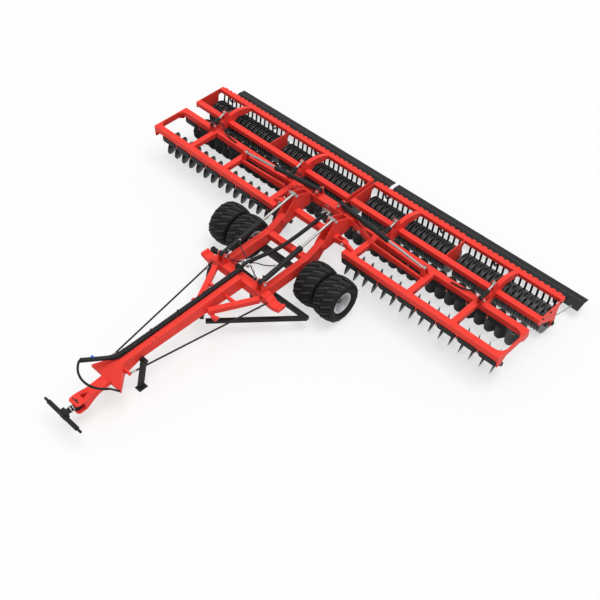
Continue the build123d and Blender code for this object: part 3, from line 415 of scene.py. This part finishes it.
class HARROW_OT_finishes(bpy.types.Operator):
    """Build the shared node groups and the machine's finishes, and paint the CAD nodes"""

    bl_idname = "harrow.finishes"
    bl_label = "Paint the machine"

    def execute(self, context):
        finishes = context.scene.harrow_finishes
        mottle_group()
        grain_group()
        painted_highlight_edge_group()
        # The edge colours below are lighter than their bases: painted highlights along the edges.
        red = make_finish("red_paint", finishes.red, shade=0.82, mottle_scale=1.3, contrast=0.4,
                          grain=260.0, roughness=finishes.paint_gloss, bump=0.03, specular=0.06,
                          edge=(0.92, 0.11, 0.08))
        black = make_finish("black_paint", finishes.black, shade=0.5, roughness=0.55, bump=0.05,
                            specular=0.24, edge=(0.030, 0.030, 0.032))
        disc = make_finish("disc_steel", finishes.disc, shade=0.55, mottle_scale=6.0,
                           roughness=0.42, metallic=0.35, specular=0.3, edge=(0.16, 0.16, 0.17))
        ring = make_finish("roller_steel", finishes.ring, shade=0.5, mottle_scale=9.0,
                           contrast=0.8, roughness=0.34, spread=0.16, metallic=0.75,
                           edge=(0.20, 0.20, 0.20))
        chrome = make_finish("chrome_rod", (0.34, 0.34, 0.33), shade=0.85, roughness=0.36,
                             spread=0.06, bump=0.01, metallic=0.7, specular=0.3)
        # Lighter grey for the rod along each board's bend, a painted highlight.
        make_finish("bend_highlight_grey", (0.075, 0.075, 0.078), shade=0.6, mottle_scale=8.0, roughness=0.5,
                    specular=0.3)
        rubber = make_finish("tyre_rubber", finishes.rubber, shade=0.6, roughness=0.68, bump=0.12,
                             specular=0.24)
        silver = make_finish("rim_silver", finishes.silver, shade=0.85, roughness=0.35,
                             metallic=0.30, edge=(0.85, 0.85, 0.86))
        make_finish("zinc_steel", (0.46, 0.46, 0.45), shade=0.7, roughness=0.42, metallic=0.7)
        make_finish("hose_rubber", (0.008, 0.008, 0.009), shade=0.6, roughness=0.55, bump=0.08,
                    specular=0.3)
        make_finish("sleeve_rubber", (0.006, 0.006, 0.007), shade=0.6, grain=60.0, roughness=0.7,
                    bump=0.2, specular=0.3)
        make_finish("blue_plastic", (0.02, 0.13, 0.42), shade=0.9, roughness=0.4)
        for names, material in (
            (RED_NODES, red), (BLACK_NODES, black), (CHROME_NODES, chrome), (DISC_NODES, disc),
            (ROLLER_NODES, ring), (TYRE_NODES, rubber), (RIM_NODES, silver),
        ):
            paint(nodes_named(names), material)
        return {"FINISHED"}


# Mesh helpers
def at(x, row, z):
    """Point from its distance out, its distance behind the tilt axis and its height."""
    return Vector((x, TILT_Y + row, z))


def route(points, side=1, shift=(0, 0, 0)):
    """Points of a hose's path, mirrored to its side and then shifted."""
    return [at(side * x, row, z) + Vector(shift) for x, row, z in points]


def add_turned(bm, place, axis, profile, sides=20):
    """Turn (along, radius) points round an axis; a radius of 0 closes an end."""
    turn = Matrix.Translation(place) @ Vector(axis).to_track_quat("Z", "Y").to_matrix().to_4x4()
    rings = []
    for distance, radius in profile:
        count = sides if radius else 1
        rings.append([bm.verts.new(turn @ Vector((
            radius * cos(2 * pi * k / sides), radius * sin(2 * pi * k / sides), distance)))
            for k in range(count)])
    for low, high in zip(rings, rings[1:]):
        for k in range(sides):
            corners = (low[k % len(low)], low[(k + 1) % len(low)],
                       high[(k + 1) % len(high)], high[k % len(high)])
            corners = list(dict.fromkeys(corners))
            if len(corners) > 2:
                bm.faces.new(corners)


def scaled(profile, size):
    """A profile of size 1 at another size."""
    return [(size * distance, size * radius) for distance, radius in profile]


def add_bolt(bm, place, axis, size):
    """Hexagon head on its washer; size is the head's width over its corners."""
    add_turned(bm, place, axis, scaled(WASHER, size), 14)
    add_turned(bm, place, axis, scaled(BOLT_HEAD, size), 6)


def add_bolt_circle(bm, centre, axis, circle, size, first=0.0, across=(0, 1, 0),
                    upward=(0, 0, 1)):
    """Bolts round a circle, which is given as their number and its radius."""
    count, radius = circle
    for step in range(count):
        angle = 2 * pi * (step + first) / count
        add_bolt(bm, centre + radius * (cos(angle) * Vector(across) + sin(angle) * Vector(upward)),
                 axis, size)


def add_fitting(bm, place, axis, radius):
    """Hydraulic fitting: nut, collar and swaged tail along an axis."""
    add_turned(bm, place, axis, scaled(FITTING, radius), 12)


def add_pin_head(bm, place, axis, radius):
    """Head of a pin on its collar."""
    add_turned(bm, place, axis, (
        (-0.004, 0), (-0.004, 1.25 * radius), (0.006, 1.25 * radius), (0.006, radius),
        (0.016, radius), (0.022, 0.8 * radius), (0.022, 0)))


def add_pin_heads(bm, middle, way, pin):
    """Heads at both ends of a pin, which is given as its reach and radius."""
    reach, radius = pin
    for sign in (-1, 1):
        outward = sign * Vector(way)
        add_pin_head(bm, middle + reach * outward, outward, radius)


def add_slab(bm, centre, size, edge=0.004):
    """Block with rounded edges."""
    placed = Matrix.Translation(centre) @ Matrix.Diagonal((*size, 1))
    made = bmesh.ops.create_cube(bm, size=1, matrix=placed)
    edges = list({each for corner in made["verts"] for each in corner.link_edges})
    bmesh.ops.bevel(bm, geom=edges, offset=edge, segments=2, profile=0.5, affect="EDGES")


def add_tube(bm, points, radius, round_steps=3):
    """Round tube or hose along one smooth curve through its control points."""
    curve = bpy.data.curves.new("tube", "CURVE")
    curve.dimensions = "3D"
    curve.bevel_depth = radius
    curve.bevel_resolution = round_steps
    curve.use_fill_caps = True
    curve.resolution_u = 6
    spline = curve.splines.new("NURBS")
    spline.points.add(len(points) - 1)
    for knot, point in zip(spline.points, points):
        knot.co = (*point, 1)
    spline.order_u = min(4, len(points))
    spline.use_endpoint_u = True
    holder = bpy.data.objects.new("tube", curve)
    bpy.context.scene.collection.objects.link(holder)
    bpy.context.view_layer.update()
    mesh = bpy.data.meshes.new_from_object(holder)
    bm.from_mesh(mesh)
    bpy.data.objects.remove(holder)
    bpy.data.curves.remove(curve)
    bpy.data.meshes.remove(mesh)


def place_piece(bm, name, finish, body):
    """Turn a mesh into a piece with a finish and a slot, riding on a body unless it is None."""
    bmesh.ops.recalc_face_normals(bm, faces=bm.faces)
    mesh = bpy.data.meshes.new(name)
    bm.to_mesh(mesh)
    bm.free()
    mesh.shade_smooth()
    mesh.set_sharp_from_angle(angle=SHARP_ANGLE)
    mesh.materials.append(bpy.data.materials[finish])
    piece = bpy.data.objects.new(name, mesh)
    bpy.context.scene.collection.objects.link(piece)
    if body:
        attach(piece, body)
    return piece


def along(start, end, distance):
    """Point at a distance from start towards end."""
    return start + (end - start).normalized() * distance


def disc_pairs(side):
    """One wing's disc pairs, as (middle, row of their beam, way they throw, beam's start)."""
    pairs = []
    for beam_row, count, shift, facing, start in BEAM_ROWS:
        for number in range(0, count, 2):
            middle = OUTER_DISC + shift - DISC_PITCH * (number + 0.5)
            pairs.append((side * middle, beam_row, facing, start))
    return pairs


def disc_axle(facing):
    """Unit vector along a disc's axle, towards its dished side."""
    return Vector((facing * cos(DISC_YAW) * cos(DISC_CAMBER), -sin(DISC_YAW) * cos(DISC_CAMBER),
                   sin(DISC_CAMBER)))


class HARROW_OT_hoses(bpy.types.Operator):
    """Lay the hoses on the drawbar, the sleeve to the centre frame and their fittings"""

    bl_idname = "harrow.hoses"
    bl_label = "Lay the hoses"

    def execute(self, context):
        sizes = context.scene.harrow_sizes
        hose = sizes.hose / 2
        lines = bmesh.new()
        for x in HOSE_OFFSETS:
            add_tube(lines, route(DRAWBAR_HOSE, shift=(x, 0, hose)), hose)
        for side in SIDES.values():
            for path in LIFT_HOSES:
                add_tube(lines, route(path, side), hose)
        add_tube(lines, route(BUNDLE), BUNDLE_RADIUS)
        place_piece(lines, "drawbar_hoses", "hose_rubber", "chassis")
        clamps = bmesh.new()
        x, first_row = DRAWBAR_HOSE[0][:2]
        for row in CLAMP_ROWS:
            add_slab(clamps, at(x, row, CLAMP_HEIGHT + CLAMP_SLOPE * (row - first_row)),
                     (0.104, 0.040, 0.034))
        place_piece(clamps, "hose_clamps", "black_paint", "chassis")
        fittings = bmesh.new()
        add_slab(fittings, at(-0.17, -1.60, 0.845), (0.17, 0.09, 0.09), edge=0.008)
        place_piece(fittings, "valve_block", "black_paint", "chassis")
        couplings = bmesh.new()
        for x in COUPLING_OFFSETS:
            place = at(x, -1.56, 0.93 + 0.4 * abs(x + 0.05))
            add_fitting(couplings, place, (0.1, 0.35, 0.9), 0.017)
        for side in SIDES.values():
            for place in route(LIFT_FITTINGS, side):
                add_fitting(couplings, place, (-side * 0.8, 0, 0.6), 0.018)
            add_tube(couplings, route(FRONT_PIPE, side), FRONT_PIPE_RADIUS)
        place_piece(couplings, "front_fittings", "zinc_steel", "chassis")
        sleeve = bmesh.new()
        add_tube(sleeve, route(SLEEVE), sizes.sleeve / 2, 5)
        bundle = place_piece(sleeve, "hose_sleeve", "sleeve_rubber", None)
        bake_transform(bundle)
        rear = bmesh.new()
        for x, z in ((-0.03, 0.95), (0.02, 0.985), (0.065, 0.95), (0.11, 0.99)):
            add_fitting(rear, at(x, 0.62, z), (0.15, 0.9, 0.25), 0.020)
        add_slab(rear, at(0.04, 0.705, 0.985), (0.22, 0.05, 0.10), edge=0.006)
        place_piece(rear, "rear_fittings", "zinc_steel", "centre_frame")
        last = bmesh.new()
        for side in SIDES.values():
            add_tube(last, (at(side * 0.12 + 0.03, 0.70, 0.96), *route(CENTRE_HOSE, side)), hose)
        add_turned(last, at(-0.14, 0.60, 0.90), (0, 0.3, 1),
                   ((0, 0), (0, 0.03), (0.02, 0.05), (0.06, 0.062), (0.11, 0.062), (0.15, 0.045),
                    (0.165, 0)))
        place_piece(last, "centre_hoses", "hose_rubber", "centre_frame")
        return {"FINISHED"}


class HARROW_OT_cylinders(bpy.types.Operator):
    """Dress the cylinders with glands, ports, pin heads and hoses"""

    bl_idname = "harrow.cylinders"
    bl_label = "Dress the cylinders"

    def execute(self, context):
        barrels, pins = bmesh.new(), bmesh.new()
        for side in SIDES.values():
            base, eye = (at(side * TOWER_X, *place) for place in LIFT)
            add_barrel_trim(barrels, base, eye, *LIFT_BARREL, (-side * 0.6, 0, 0.8))
            add_pin_heads(pins, base, (1, 0, 0), LIFT_PIN)
        place_piece(barrels, "lift_barrel_trim", "black_paint", "lift_barrels")
        place_piece(pins, "lift_pin_heads", "zinc_steel", "lift_barrels")
        for tag, side in SIDES.items():
            barrels, pins = bmesh.new(), bmesh.new()
            base, eye = (at(side * x, FOLD_ROW, z) for x, z in FOLD)
            add_barrel_trim(barrels, base, eye, *FOLD_BARREL, (0, -0.5, 0.86))
            add_pin_heads(pins, base, (0, 1, 0), FOLD_PIN)
            body = f"fold_barrel_{tag}"
            place_piece(barrels, f"fold_barrel_trim_{tag}", "black_paint", body)
            place_piece(pins, f"fold_pin_heads_{tag}", "zinc_steel", body)
            barrels, pins = bmesh.new(), bmesh.new()
            for station in DEPTH_STATIONS:
                base, eye = (at(side * station, *place) for place in DEPTH)
                add_barrel_trim(barrels, base, eye, *DEPTH_BARREL, (-side * 0.9, 0, 0.4))
                add_pin_heads(pins, base, (1, 0, 0), DEPTH_PIN)
            body = f"depth_barrels_{tag}"
            place_piece(barrels, f"depth_barrel_trim_{tag}", "black_paint", body)
            place_piece(pins, f"depth_pin_heads_{tag}", "zinc_steel", body)
            lines = bmesh.new()
            for station in DEPTH_STATIONS:
                for offset in DEPTH_HOSE_ROWS:
                    add_tube(lines, [at(side * (station - inward), row + offset, z)
                                     for inward, row, z in DEPTH_HOSE], DEPTH_HOSE_RADIUS)
            place_piece(lines, f"depth_hoses_{tag}", "hose_rubber", f"wing_{tag}")
        return {"FINISHED"}


def add_barrel_trim(bm, base, eye, length, radius, port):
    """Gland rings and port bosses of one barrel."""
    axis = eye - base
    add_turned(bm, along(base, eye, length - 0.002), axis, (
        (0, radius + 0.007), (0.008, radius + 0.007), (0.012, radius), (0.012, 0.62 * radius)))
    add_turned(bm, along(base, eye, length - 0.062), axis, (
        (-0.010, radius), (-0.010, radius + 0.004), (0, radius + 0.010), (0.012, radius + 0.010),
        (0.018, radius + 0.007)))
    for distance in (BASE_PORT, length - ROD_PORT):
        if distance < LAST_PORT * length:
            add_turned(bm, along(base, eye, distance), port, (
                (0.8 * radius, 0.024), (radius + 0.016, 0.024), (radius + 0.020, 0.020),
                (radius + 0.020, 0)), 12)


def lug_point(distance):
    """Point on a lug's middle line, by its distance from the tyre's middle."""
    lean = distance * LUG_LEAN
    radius = TYRE_RADIUS - LUG_DEPTH - LUG_FALL * (distance / TYRE_HALF) ** 2
    return Vector((distance, lean, (radius ** 2 - lean ** 2) ** 0.5))


def add_lug_run(bm, turn, low, high):
    """One straight run of a lug, narrower at its top, between two points."""
    way = (high - low).normalized()
    up = Vector((0, low.y + high.y, low.z + high.z)).normalized()
    across = way.cross(up).normalized()
    up = across.cross(way)
    rows = []
    for end in (low, high):
        rows.append([bm.verts.new(turn @ (end + across * aside + up * lift))
                     for aside, lift in LUG_SECTION])
    near, far = rows
    for k in range(4):
        bm.faces.new((near[k], near[(k + 1) % 4], far[(k + 1) % 4], far[k]))
    bm.faces.new(near)
    bm.faces.new(far)


def add_lugs(bm, middle):
    """Low lugs between the tall ones of one tyre, on both sides of its crown."""
    for number in range(LUG_COUNT):
        for half_turn, shift in ((0, 0.5), (pi, 0)):
            turn = (Matrix.Translation(middle)
                    @ Matrix.Rotation(2 * pi * (number + shift) / LUG_COUNT, 4, "X")
                    @ Matrix.Rotation(half_turn, 4, "Z"))
            for near, far in LUG_RUNS:
                add_lug_run(bm, turn, lug_point(near * TYRE_HALF), lug_point(far * TYRE_HALF))


class HARROW_OT_wheels(bpy.types.Operator):
    """Fit the low lugs of the tread, the wheel nuts and the hub caps"""

    bl_idname = "harrow.wheels"
    bl_label = "Dress the wheels"

    def execute(self, context):
        for tag, side in SIDES.items():
            nuts, caps, tread = bmesh.new(), bmesh.new(), bmesh.new()
            for middle, outward in zip(WHEEL_MIDDLES, (-side, side)):
                add_lugs(tread, at(side * middle, *AXLE))
                face = at(side * middle + outward * RIM_FACE, *AXLE)
                add_bolt_circle(nuts, face, (outward, 0, 0), WHEEL_NUTS, 0.030)
            # Black caps over the hubs; their black also stands in for the shade in the hubs'
            # hollows, a painted shade.
            hub = at(side * (WHEEL_MIDDLES[1] + HUB_REACH), *AXLE)
            add_turned(caps, hub, (side, 0, 0), (
                (-0.03, 0.098), (0.004, 0.098), (0.010, 0.090), (0.010, 0.066), (0.045, 0.062),
                (0.056, 0.050), (0.060, 0.0)), 32)
            add_bolt_circle(nuts, hub + Vector((side * 0.010, 0, 0)), (side, 0, 0), HUB_BOLTS,
                            0.018)
            place_piece(tread, f"tread_lugs_{tag}", "tyre_rubber", f"wheels_{tag}")
            place_piece(nuts, f"wheel_nuts_{tag}", "zinc_steel", f"wheels_{tag}")
            place_piece(caps, f"hub_cap_{tag}", "black_paint", f"wheels_{tag}")
        return {"FINISHED"}


class HARROW_OT_discs(bpy.types.Operator):
    """Bolt the discs to their hubs, and cover the ends of their housings"""

    bl_idname = "harrow.discs"
    bl_label = "Dress the discs"

    def execute(self, context):
        width, depth, height = HOUSING
        level = FRAME_TOP - BEAM_HEIGHT - height / 2
        for tag, side in SIDES.items():
            bolts, covers, plates = bmesh.new(), bmesh.new(), bmesh.new()
            for x, beam_row, facing, beam_start in disc_pairs(side):
                axle = disc_axle(facing)
                for offset in (-DISC_PITCH / 2, DISC_PITCH / 2):
                    centre = at(x + offset, beam_row + DISC_TRAIL, DISC_RADIUS * cos(DISC_CAMBER))
                    face = centre - axle * (DISC_DISH - 0.008)
                    across = axle.orthogonal().normalized()
                    add_bolt_circle(bolts, face, axle, DISC_BOLTS, 0.020, across=across,
                                    upward=axle.cross(across))
                    add_turned(covers, face, axle, (
                        (0, 0.034), (0.012, 0.030), (0.018, 0.018), (0.020, 0)), 16)
                middle, row = x + HOUSING_SHIFT * facing, beam_row + HOUSING_ROW
                for end in (-1, 1):
                    if abs(middle + end * (width / 2 + COVER_ROOM)) > WING_END - END_PLATE_GAP:
                        continue
                    add_slab(covers, at(middle + end * (width / 2 + COVER[1]), row, level),
                             (COVER[0], depth - 0.004, height - 0.004), edge=0.014)
                gap = at(middle - side * DISC_PITCH, row, level)
                if abs(gap.x) > beam_start + PLATE_ROOM:
                    add_slab(plates, gap, (0.018, depth - 0.030, height - 0.010), edge=0.003)
            body = f"wing_{tag}"
            place_piece(bolts, f"disc_bolts_{tag}", "zinc_steel", body)
            place_piece(covers, f"housing_covers_{tag}", "black_paint", body)
            place_piece(plates, f"housing_plates_{tag}", "red_paint", body)
        return {"FINISHED"}


class HARROW_OT_packers(bpy.types.Operator):
    """Fit the packers' scraper bolts, bearings, board rods, and the lighter rods along the boards'
    bends that are painted highlights
    """

    bl_idname = "harrow.packers"
    bl_label = "Dress the packers"

    def execute(self, context):
        for tag, side in SIDES.items():
            bolts, bearings, rods = bmesh.new(), bmesh.new(), bmesh.new()
            first, last = SCRAPERS
            count = int((last - first) / SCRAPER_PITCH) + 1
            start = (first + last - (count - 1) * SCRAPER_PITCH) / 2
            for number in range(count):
                x = side * (start + SCRAPER_PITCH * number)
                add_bolt(bolts, at(x, COMB_ROW + 0.086, FRAME_TOP - 0.045), (0, 1, 0), 0.026)
            for x, outward in ((0.045, -1), (WING_END, 1)):
                hub = at(side * x, *ROLLER)
                add_turned(bearings, hub, (side * outward, 0, 0), (
                    (-0.002, 0), (-0.002, 0.060), (0.010, 0.060), (0.014, 0.044), (0.034, 0.038),
                    (0.036, 0)), 24)
            outer = side * WING_END
            for row, z in PACKER_BOLTS:
                add_bolt(bearings, at(outer, row, z), (side, 0, 0), 0.036)
            add_bolt_circle(bolts, at(outer + side * 0.008, *ROLLER), (side, 0, 0), BEARING_BOLTS,
                            0.014, first=0.5)
            for lift in (0, 0.030):
                add_tube(rods, route(BOARD_ROD, side, (0, 0, lift)), 0.006)
            body = f"packer_{tag}"
            place_piece(bolts, f"packer_bolts_{tag}", "zinc_steel", body)
            place_piece(bearings, f"packer_bearings_{tag}", "black_paint", body)
            place_piece(rods, f"board_rods_{tag}", "zinc_steel", body)
            # A lighter grey rod along each board's bend: a painted highlight of the bend.
            rib, length = bmesh.new(), BOARD_END - BOARD_START
            add_turned(rib, at(side * BOARD_START, *BOARD_BEND), (side, 0, 0), (
                (0, 0), (0, 0.008), (length, 0.008), (length, 0)), 10)
            place_piece(rib, f"board_bend_highlight_{tag}", "bend_highlight_grey", body)
        return {"FINISHED"}


class HARROW_OT_frame(bpy.types.Operator):
    """Fit the frame's bolts, pin heads, studs, hose hooks and blank plate"""

    bl_idname = "harrow.frame"
    bl_label = "Dress the frame"

    def execute(self, context):
        pins, bolts = bmesh.new(), bmesh.new()
        for x in (-0.110, 0.010, 0.130):
            add_bolt(bolts, at(x, 0.812, 1.166), (0, 0, 1), 0.034)
        place_piece(bolts, "beam_bolts", "red_paint", "centre_frame")
        add_slab(pins, at(0.016, 0.734, 1.112), (0.10, 0.006, 0.034), edge=0.002)
        for side in SIDES.values():
            add_pin_heads(pins, at(side * TOWER_X, *LIFT[1]), (1, 0, 0), TOWER_PIN)
            for row in HINGE_ROWS:
                add_pin_heads(pins, at(side * HINGE[0], row, HINGE[1]), (0, 1, 0), HINGE_PIN)
        place_piece(pins, "tower_pins", "zinc_steel", "centre_frame")
        dark = bmesh.new()
        for side in SIDES.values():
            for reach, row, z in ((0.099, 0.62, 0.830), (-0.099, 0.60, 0.860)):
                add_turned(dark, at(side * TOWER_X + side * reach, row, z), (side * reach, 0, 0), (
                    (-0.002, 0), (-0.002, 0.034), (0.008, 0.034), (0.012, 0.026), (0.012, 0)), 20)
        place_piece(dark, "tower_studs", "black_paint", "centre_frame")
        hooks = bmesh.new()
        for x, row in ((0.085, -3.95), (0.113, -4.06)):
            add_slab(hooks, at(x, row, 0.885), (0.030, 0.016, 0.070), edge=0.003)
        place_piece(hooks, "hose_hooks", "red_paint", "chassis")
        return {"FINISHED"}


class HARROW_OT_hitch(bpy.types.Operator):
    """Fit the hitch's washers and nuts, the tie rod ends and the coupling cap"""

    bl_idname = "harrow.hitch"
    bl_label = "Dress the hitch"

    def execute(self, context):
        rings = bmesh.new()
        add_turned(rings, at(0, PIN_ROW, 0.368), (0, 0, -1), (
            (-0.004, 0), (-0.004, 0.050), (0.006, 0.050), (0.006, 0.036), (0.026, 0.036),
            (0.030, 0.030), (0.030, 0)), 24)
        for x in (-0.060, 0.060):
            add_bolt(rings, at(x, PIN_ROW - 0.012, 0.612), (0, 0, 1), 0.030)
        place_piece(rings, "knuckle_nuts", "black_paint", "chassis")
        collar = bmesh.new()
        for reach in COLLAR_REACHES:
            add_turned(collar, at(0, PIN_ROW - reach, 0.480), (0, -1, 0), (
                (0, 0.055), (0, 0.066), (0.016, 0.066), (0.016, 0.055)), 28)
        place_piece(collar, "knuckle_collars", "zinc_steel", "knuckle")
        rods = bmesh.new()
        for side in SIDES.values():
            front, rear = route(TIE_ROD, side)
            for start, end in ((front, rear), (rear, front)):
                add_turned(rods, along(start, end, TIE_ROD_GAP), end - start, (
                    (0, 0), (0, 0.026), (0.05, 0.026), (0.06, 0.020), (0.09, 0.020),
                    (0.09, 0)), 12)
        place_piece(rods, "tie_rod_ends", "zinc_steel", "chassis")
        cap = bmesh.new()
        add_turned(cap, at(-0.300, -5.10, 0.955), (-0.5, -0.5, 0.7), (
            (0, 0), (0, 0.022), (0.030, 0.022), (0.036, 0.026), (0.056, 0.026), (0.062, 0.018),
            (0.062, 0)), 20)
        place_piece(cap, "coupling_cap", "blue_plastic", "chassis")
        return {"FINISHED"}


class HARROW_OT_stage(bpy.types.Operator):
    """Set the pale floor, the soft light and the camera"""

    bl_idname = "harrow.stage"
    bl_label = "Set the stage"

    def execute(self, context):
        scene = context.scene
        stage = scene.harrow_stage
        scene.view_settings.view_transform = "Standard"
        add_floor()
        add_sky(scene, stage.sky)
        sun = bpy.data.lights.new("key", "SUN")
        sun.energy = stage.sun
        sun.angle = KEY_WIDTH
        lamp = bpy.data.objects.new("key", sun)
        lamp.rotation_euler = KEY_TURN
        scene.collection.objects.link(lamp)
        camera = bpy.data.cameras.new("camera")
        camera.sensor_width = 36.0
        camera.lens = stage.lens
        camera.clip_end = 200.0
        viewer = bpy.data.objects.new("camera", camera)
        viewer.location = stage.camera_place
        viewer.rotation_euler = (stage.camera_tilt, 0, stage.camera_azimuth)
        scene.collection.objects.link(viewer)
        scene.camera = viewer
        return {"FINISHED"}


def seen_rays(tree):
    """Add a factor that is 1 for rays from the camera, a mirror or glass."""
    rays = tree.nodes.new("ShaderNodeLightPath")
    total = rays.outputs["Is Camera Ray"]
    for name in ("Is Glossy Ray", "Is Transmission Ray"):
        add = tree.nodes.new("ShaderNodeMath")
        add.operation = "ADD"
        add.use_clamp = True
        tree.links.new(total, add.inputs[0])
        tree.links.new(rays.outputs[name], add.inputs[1])
        total = add.outputs[0]
    return total


def add_floor():
    """Lay the pale floor, which keeps the machine's shadow."""
    mesh = bpy.data.meshes.new("floor")
    corners = [(x * FLOOR_HALF, y * FLOOR_HALF, 0)
               for x, y in ((-1, -1), (1, -1), (1, 1), (-1, 1))]
    mesh.from_pydata(corners, [], [(0, 1, 2, 3)])
    floor = bpy.data.objects.new("floor", mesh)
    floor.location.z = -FLOOR_DROP
    bpy.context.scene.collection.objects.link(floor)
    material = bpy.data.materials.new("floor")
    material.use_nodes = True
    tree = material.node_tree
    shader = tree.nodes["Principled BSDF"]
    shader.inputs["Base Color"].default_value = (0.8, 0.8, 0.8, 1)
    shader.inputs["Roughness"].default_value = 0.9
    glow = tree.nodes.new("ShaderNodeEmission")
    glow.inputs["Strength"].default_value = 1.0
    share = tree.nodes.new("ShaderNodeMath")
    share.operation = "MULTIPLY"
    share.inputs[1].default_value = FLOOR_GLOW
    tree.links.new(seen_rays(tree), share.inputs[0])
    mix = tree.nodes.new("ShaderNodeMixShader")
    tree.links.new(share.outputs[0], mix.inputs["Fac"])
    tree.links.new(shader.outputs[0], mix.inputs[1])
    tree.links.new(glow.outputs[0], mix.inputs[2])
    tree.links.new(mix.outputs[0], tree.nodes["Material Output"].inputs["Surface"])
    mesh.materials.append(material)


def add_sky(scene, strength):
    """Light the scene evenly from all round, white where it is seen."""
    world = bpy.data.worlds.new("sky")
    scene.world = world
    world.use_nodes = True
    tree = world.node_tree
    background = tree.nodes["Background"]
    background.inputs["Color"].default_value = (1, 1, 1, 1)
    level = tree.nodes.new("ShaderNodeMapRange")
    level.inputs["To Min"].default_value = strength
    level.inputs["To Max"].default_value = 1.0
    tree.links.new(seen_rays(tree), level.inputs["Value"])
    tree.links.new(level.outputs["Result"], background.inputs["Strength"])


class HARROW_PT_panel(bpy.types.Panel):
    """Buttons for each group of pieces"""

    bl_label = "Disc harrow"
    bl_idname = "HARROW_PT_panel"
    bl_space_type = "VIEW_3D"
    bl_region_type = "UI"
    bl_category = "Disc harrow"

    def draw(self, context):
        for operator in OPERATORS:
            self.layout.operator(operator.bl_idname)


OPERATORS = (
    HARROW_OT_finishes, HARROW_OT_hoses, HARROW_OT_cylinders, HARROW_OT_wheels, HARROW_OT_discs,
    HARROW_OT_packers, HARROW_OT_frame, HARROW_OT_hitch, HARROW_OT_stage,
)
CLASSES = (HarrowFinishes, HarrowSizes, HarrowStage, *OPERATORS, HARROW_PT_panel)


def register():
    """Add the operators, the panel and the settings."""
    for each in CLASSES:
        bpy.utils.register_class(each)
    bpy.types.Scene.harrow_finishes = bpy.props.PointerProperty(type=HarrowFinishes)
    bpy.types.Scene.harrow_sizes = bpy.props.PointerProperty(type=HarrowSizes)
    bpy.types.Scene.harrow_stage = bpy.props.PointerProperty(type=HarrowStage)


def unregister():
    """Remove what register adds."""
    del bpy.types.Scene.harrow_stage
    del bpy.types.Scene.harrow_sizes
    del bpy.types.Scene.harrow_finishes
    for each in reversed(CLASSES):
        bpy.utils.unregister_class(each)


def main():
    """Build every group of pieces in order."""
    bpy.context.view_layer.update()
    register()
    bpy.ops.harrow.finishes()
    bpy.ops.harrow.hoses()
    bpy.ops.harrow.cylinders()
    bpy.ops.harrow.wheels()
    bpy.ops.harrow.discs()
    bpy.ops.harrow.packers()
    bpy.ops.harrow.frame()
    bpy.ops.harrow.hitch()
    bpy.ops.harrow.stage()


if __name__ == "__main__":
    main()
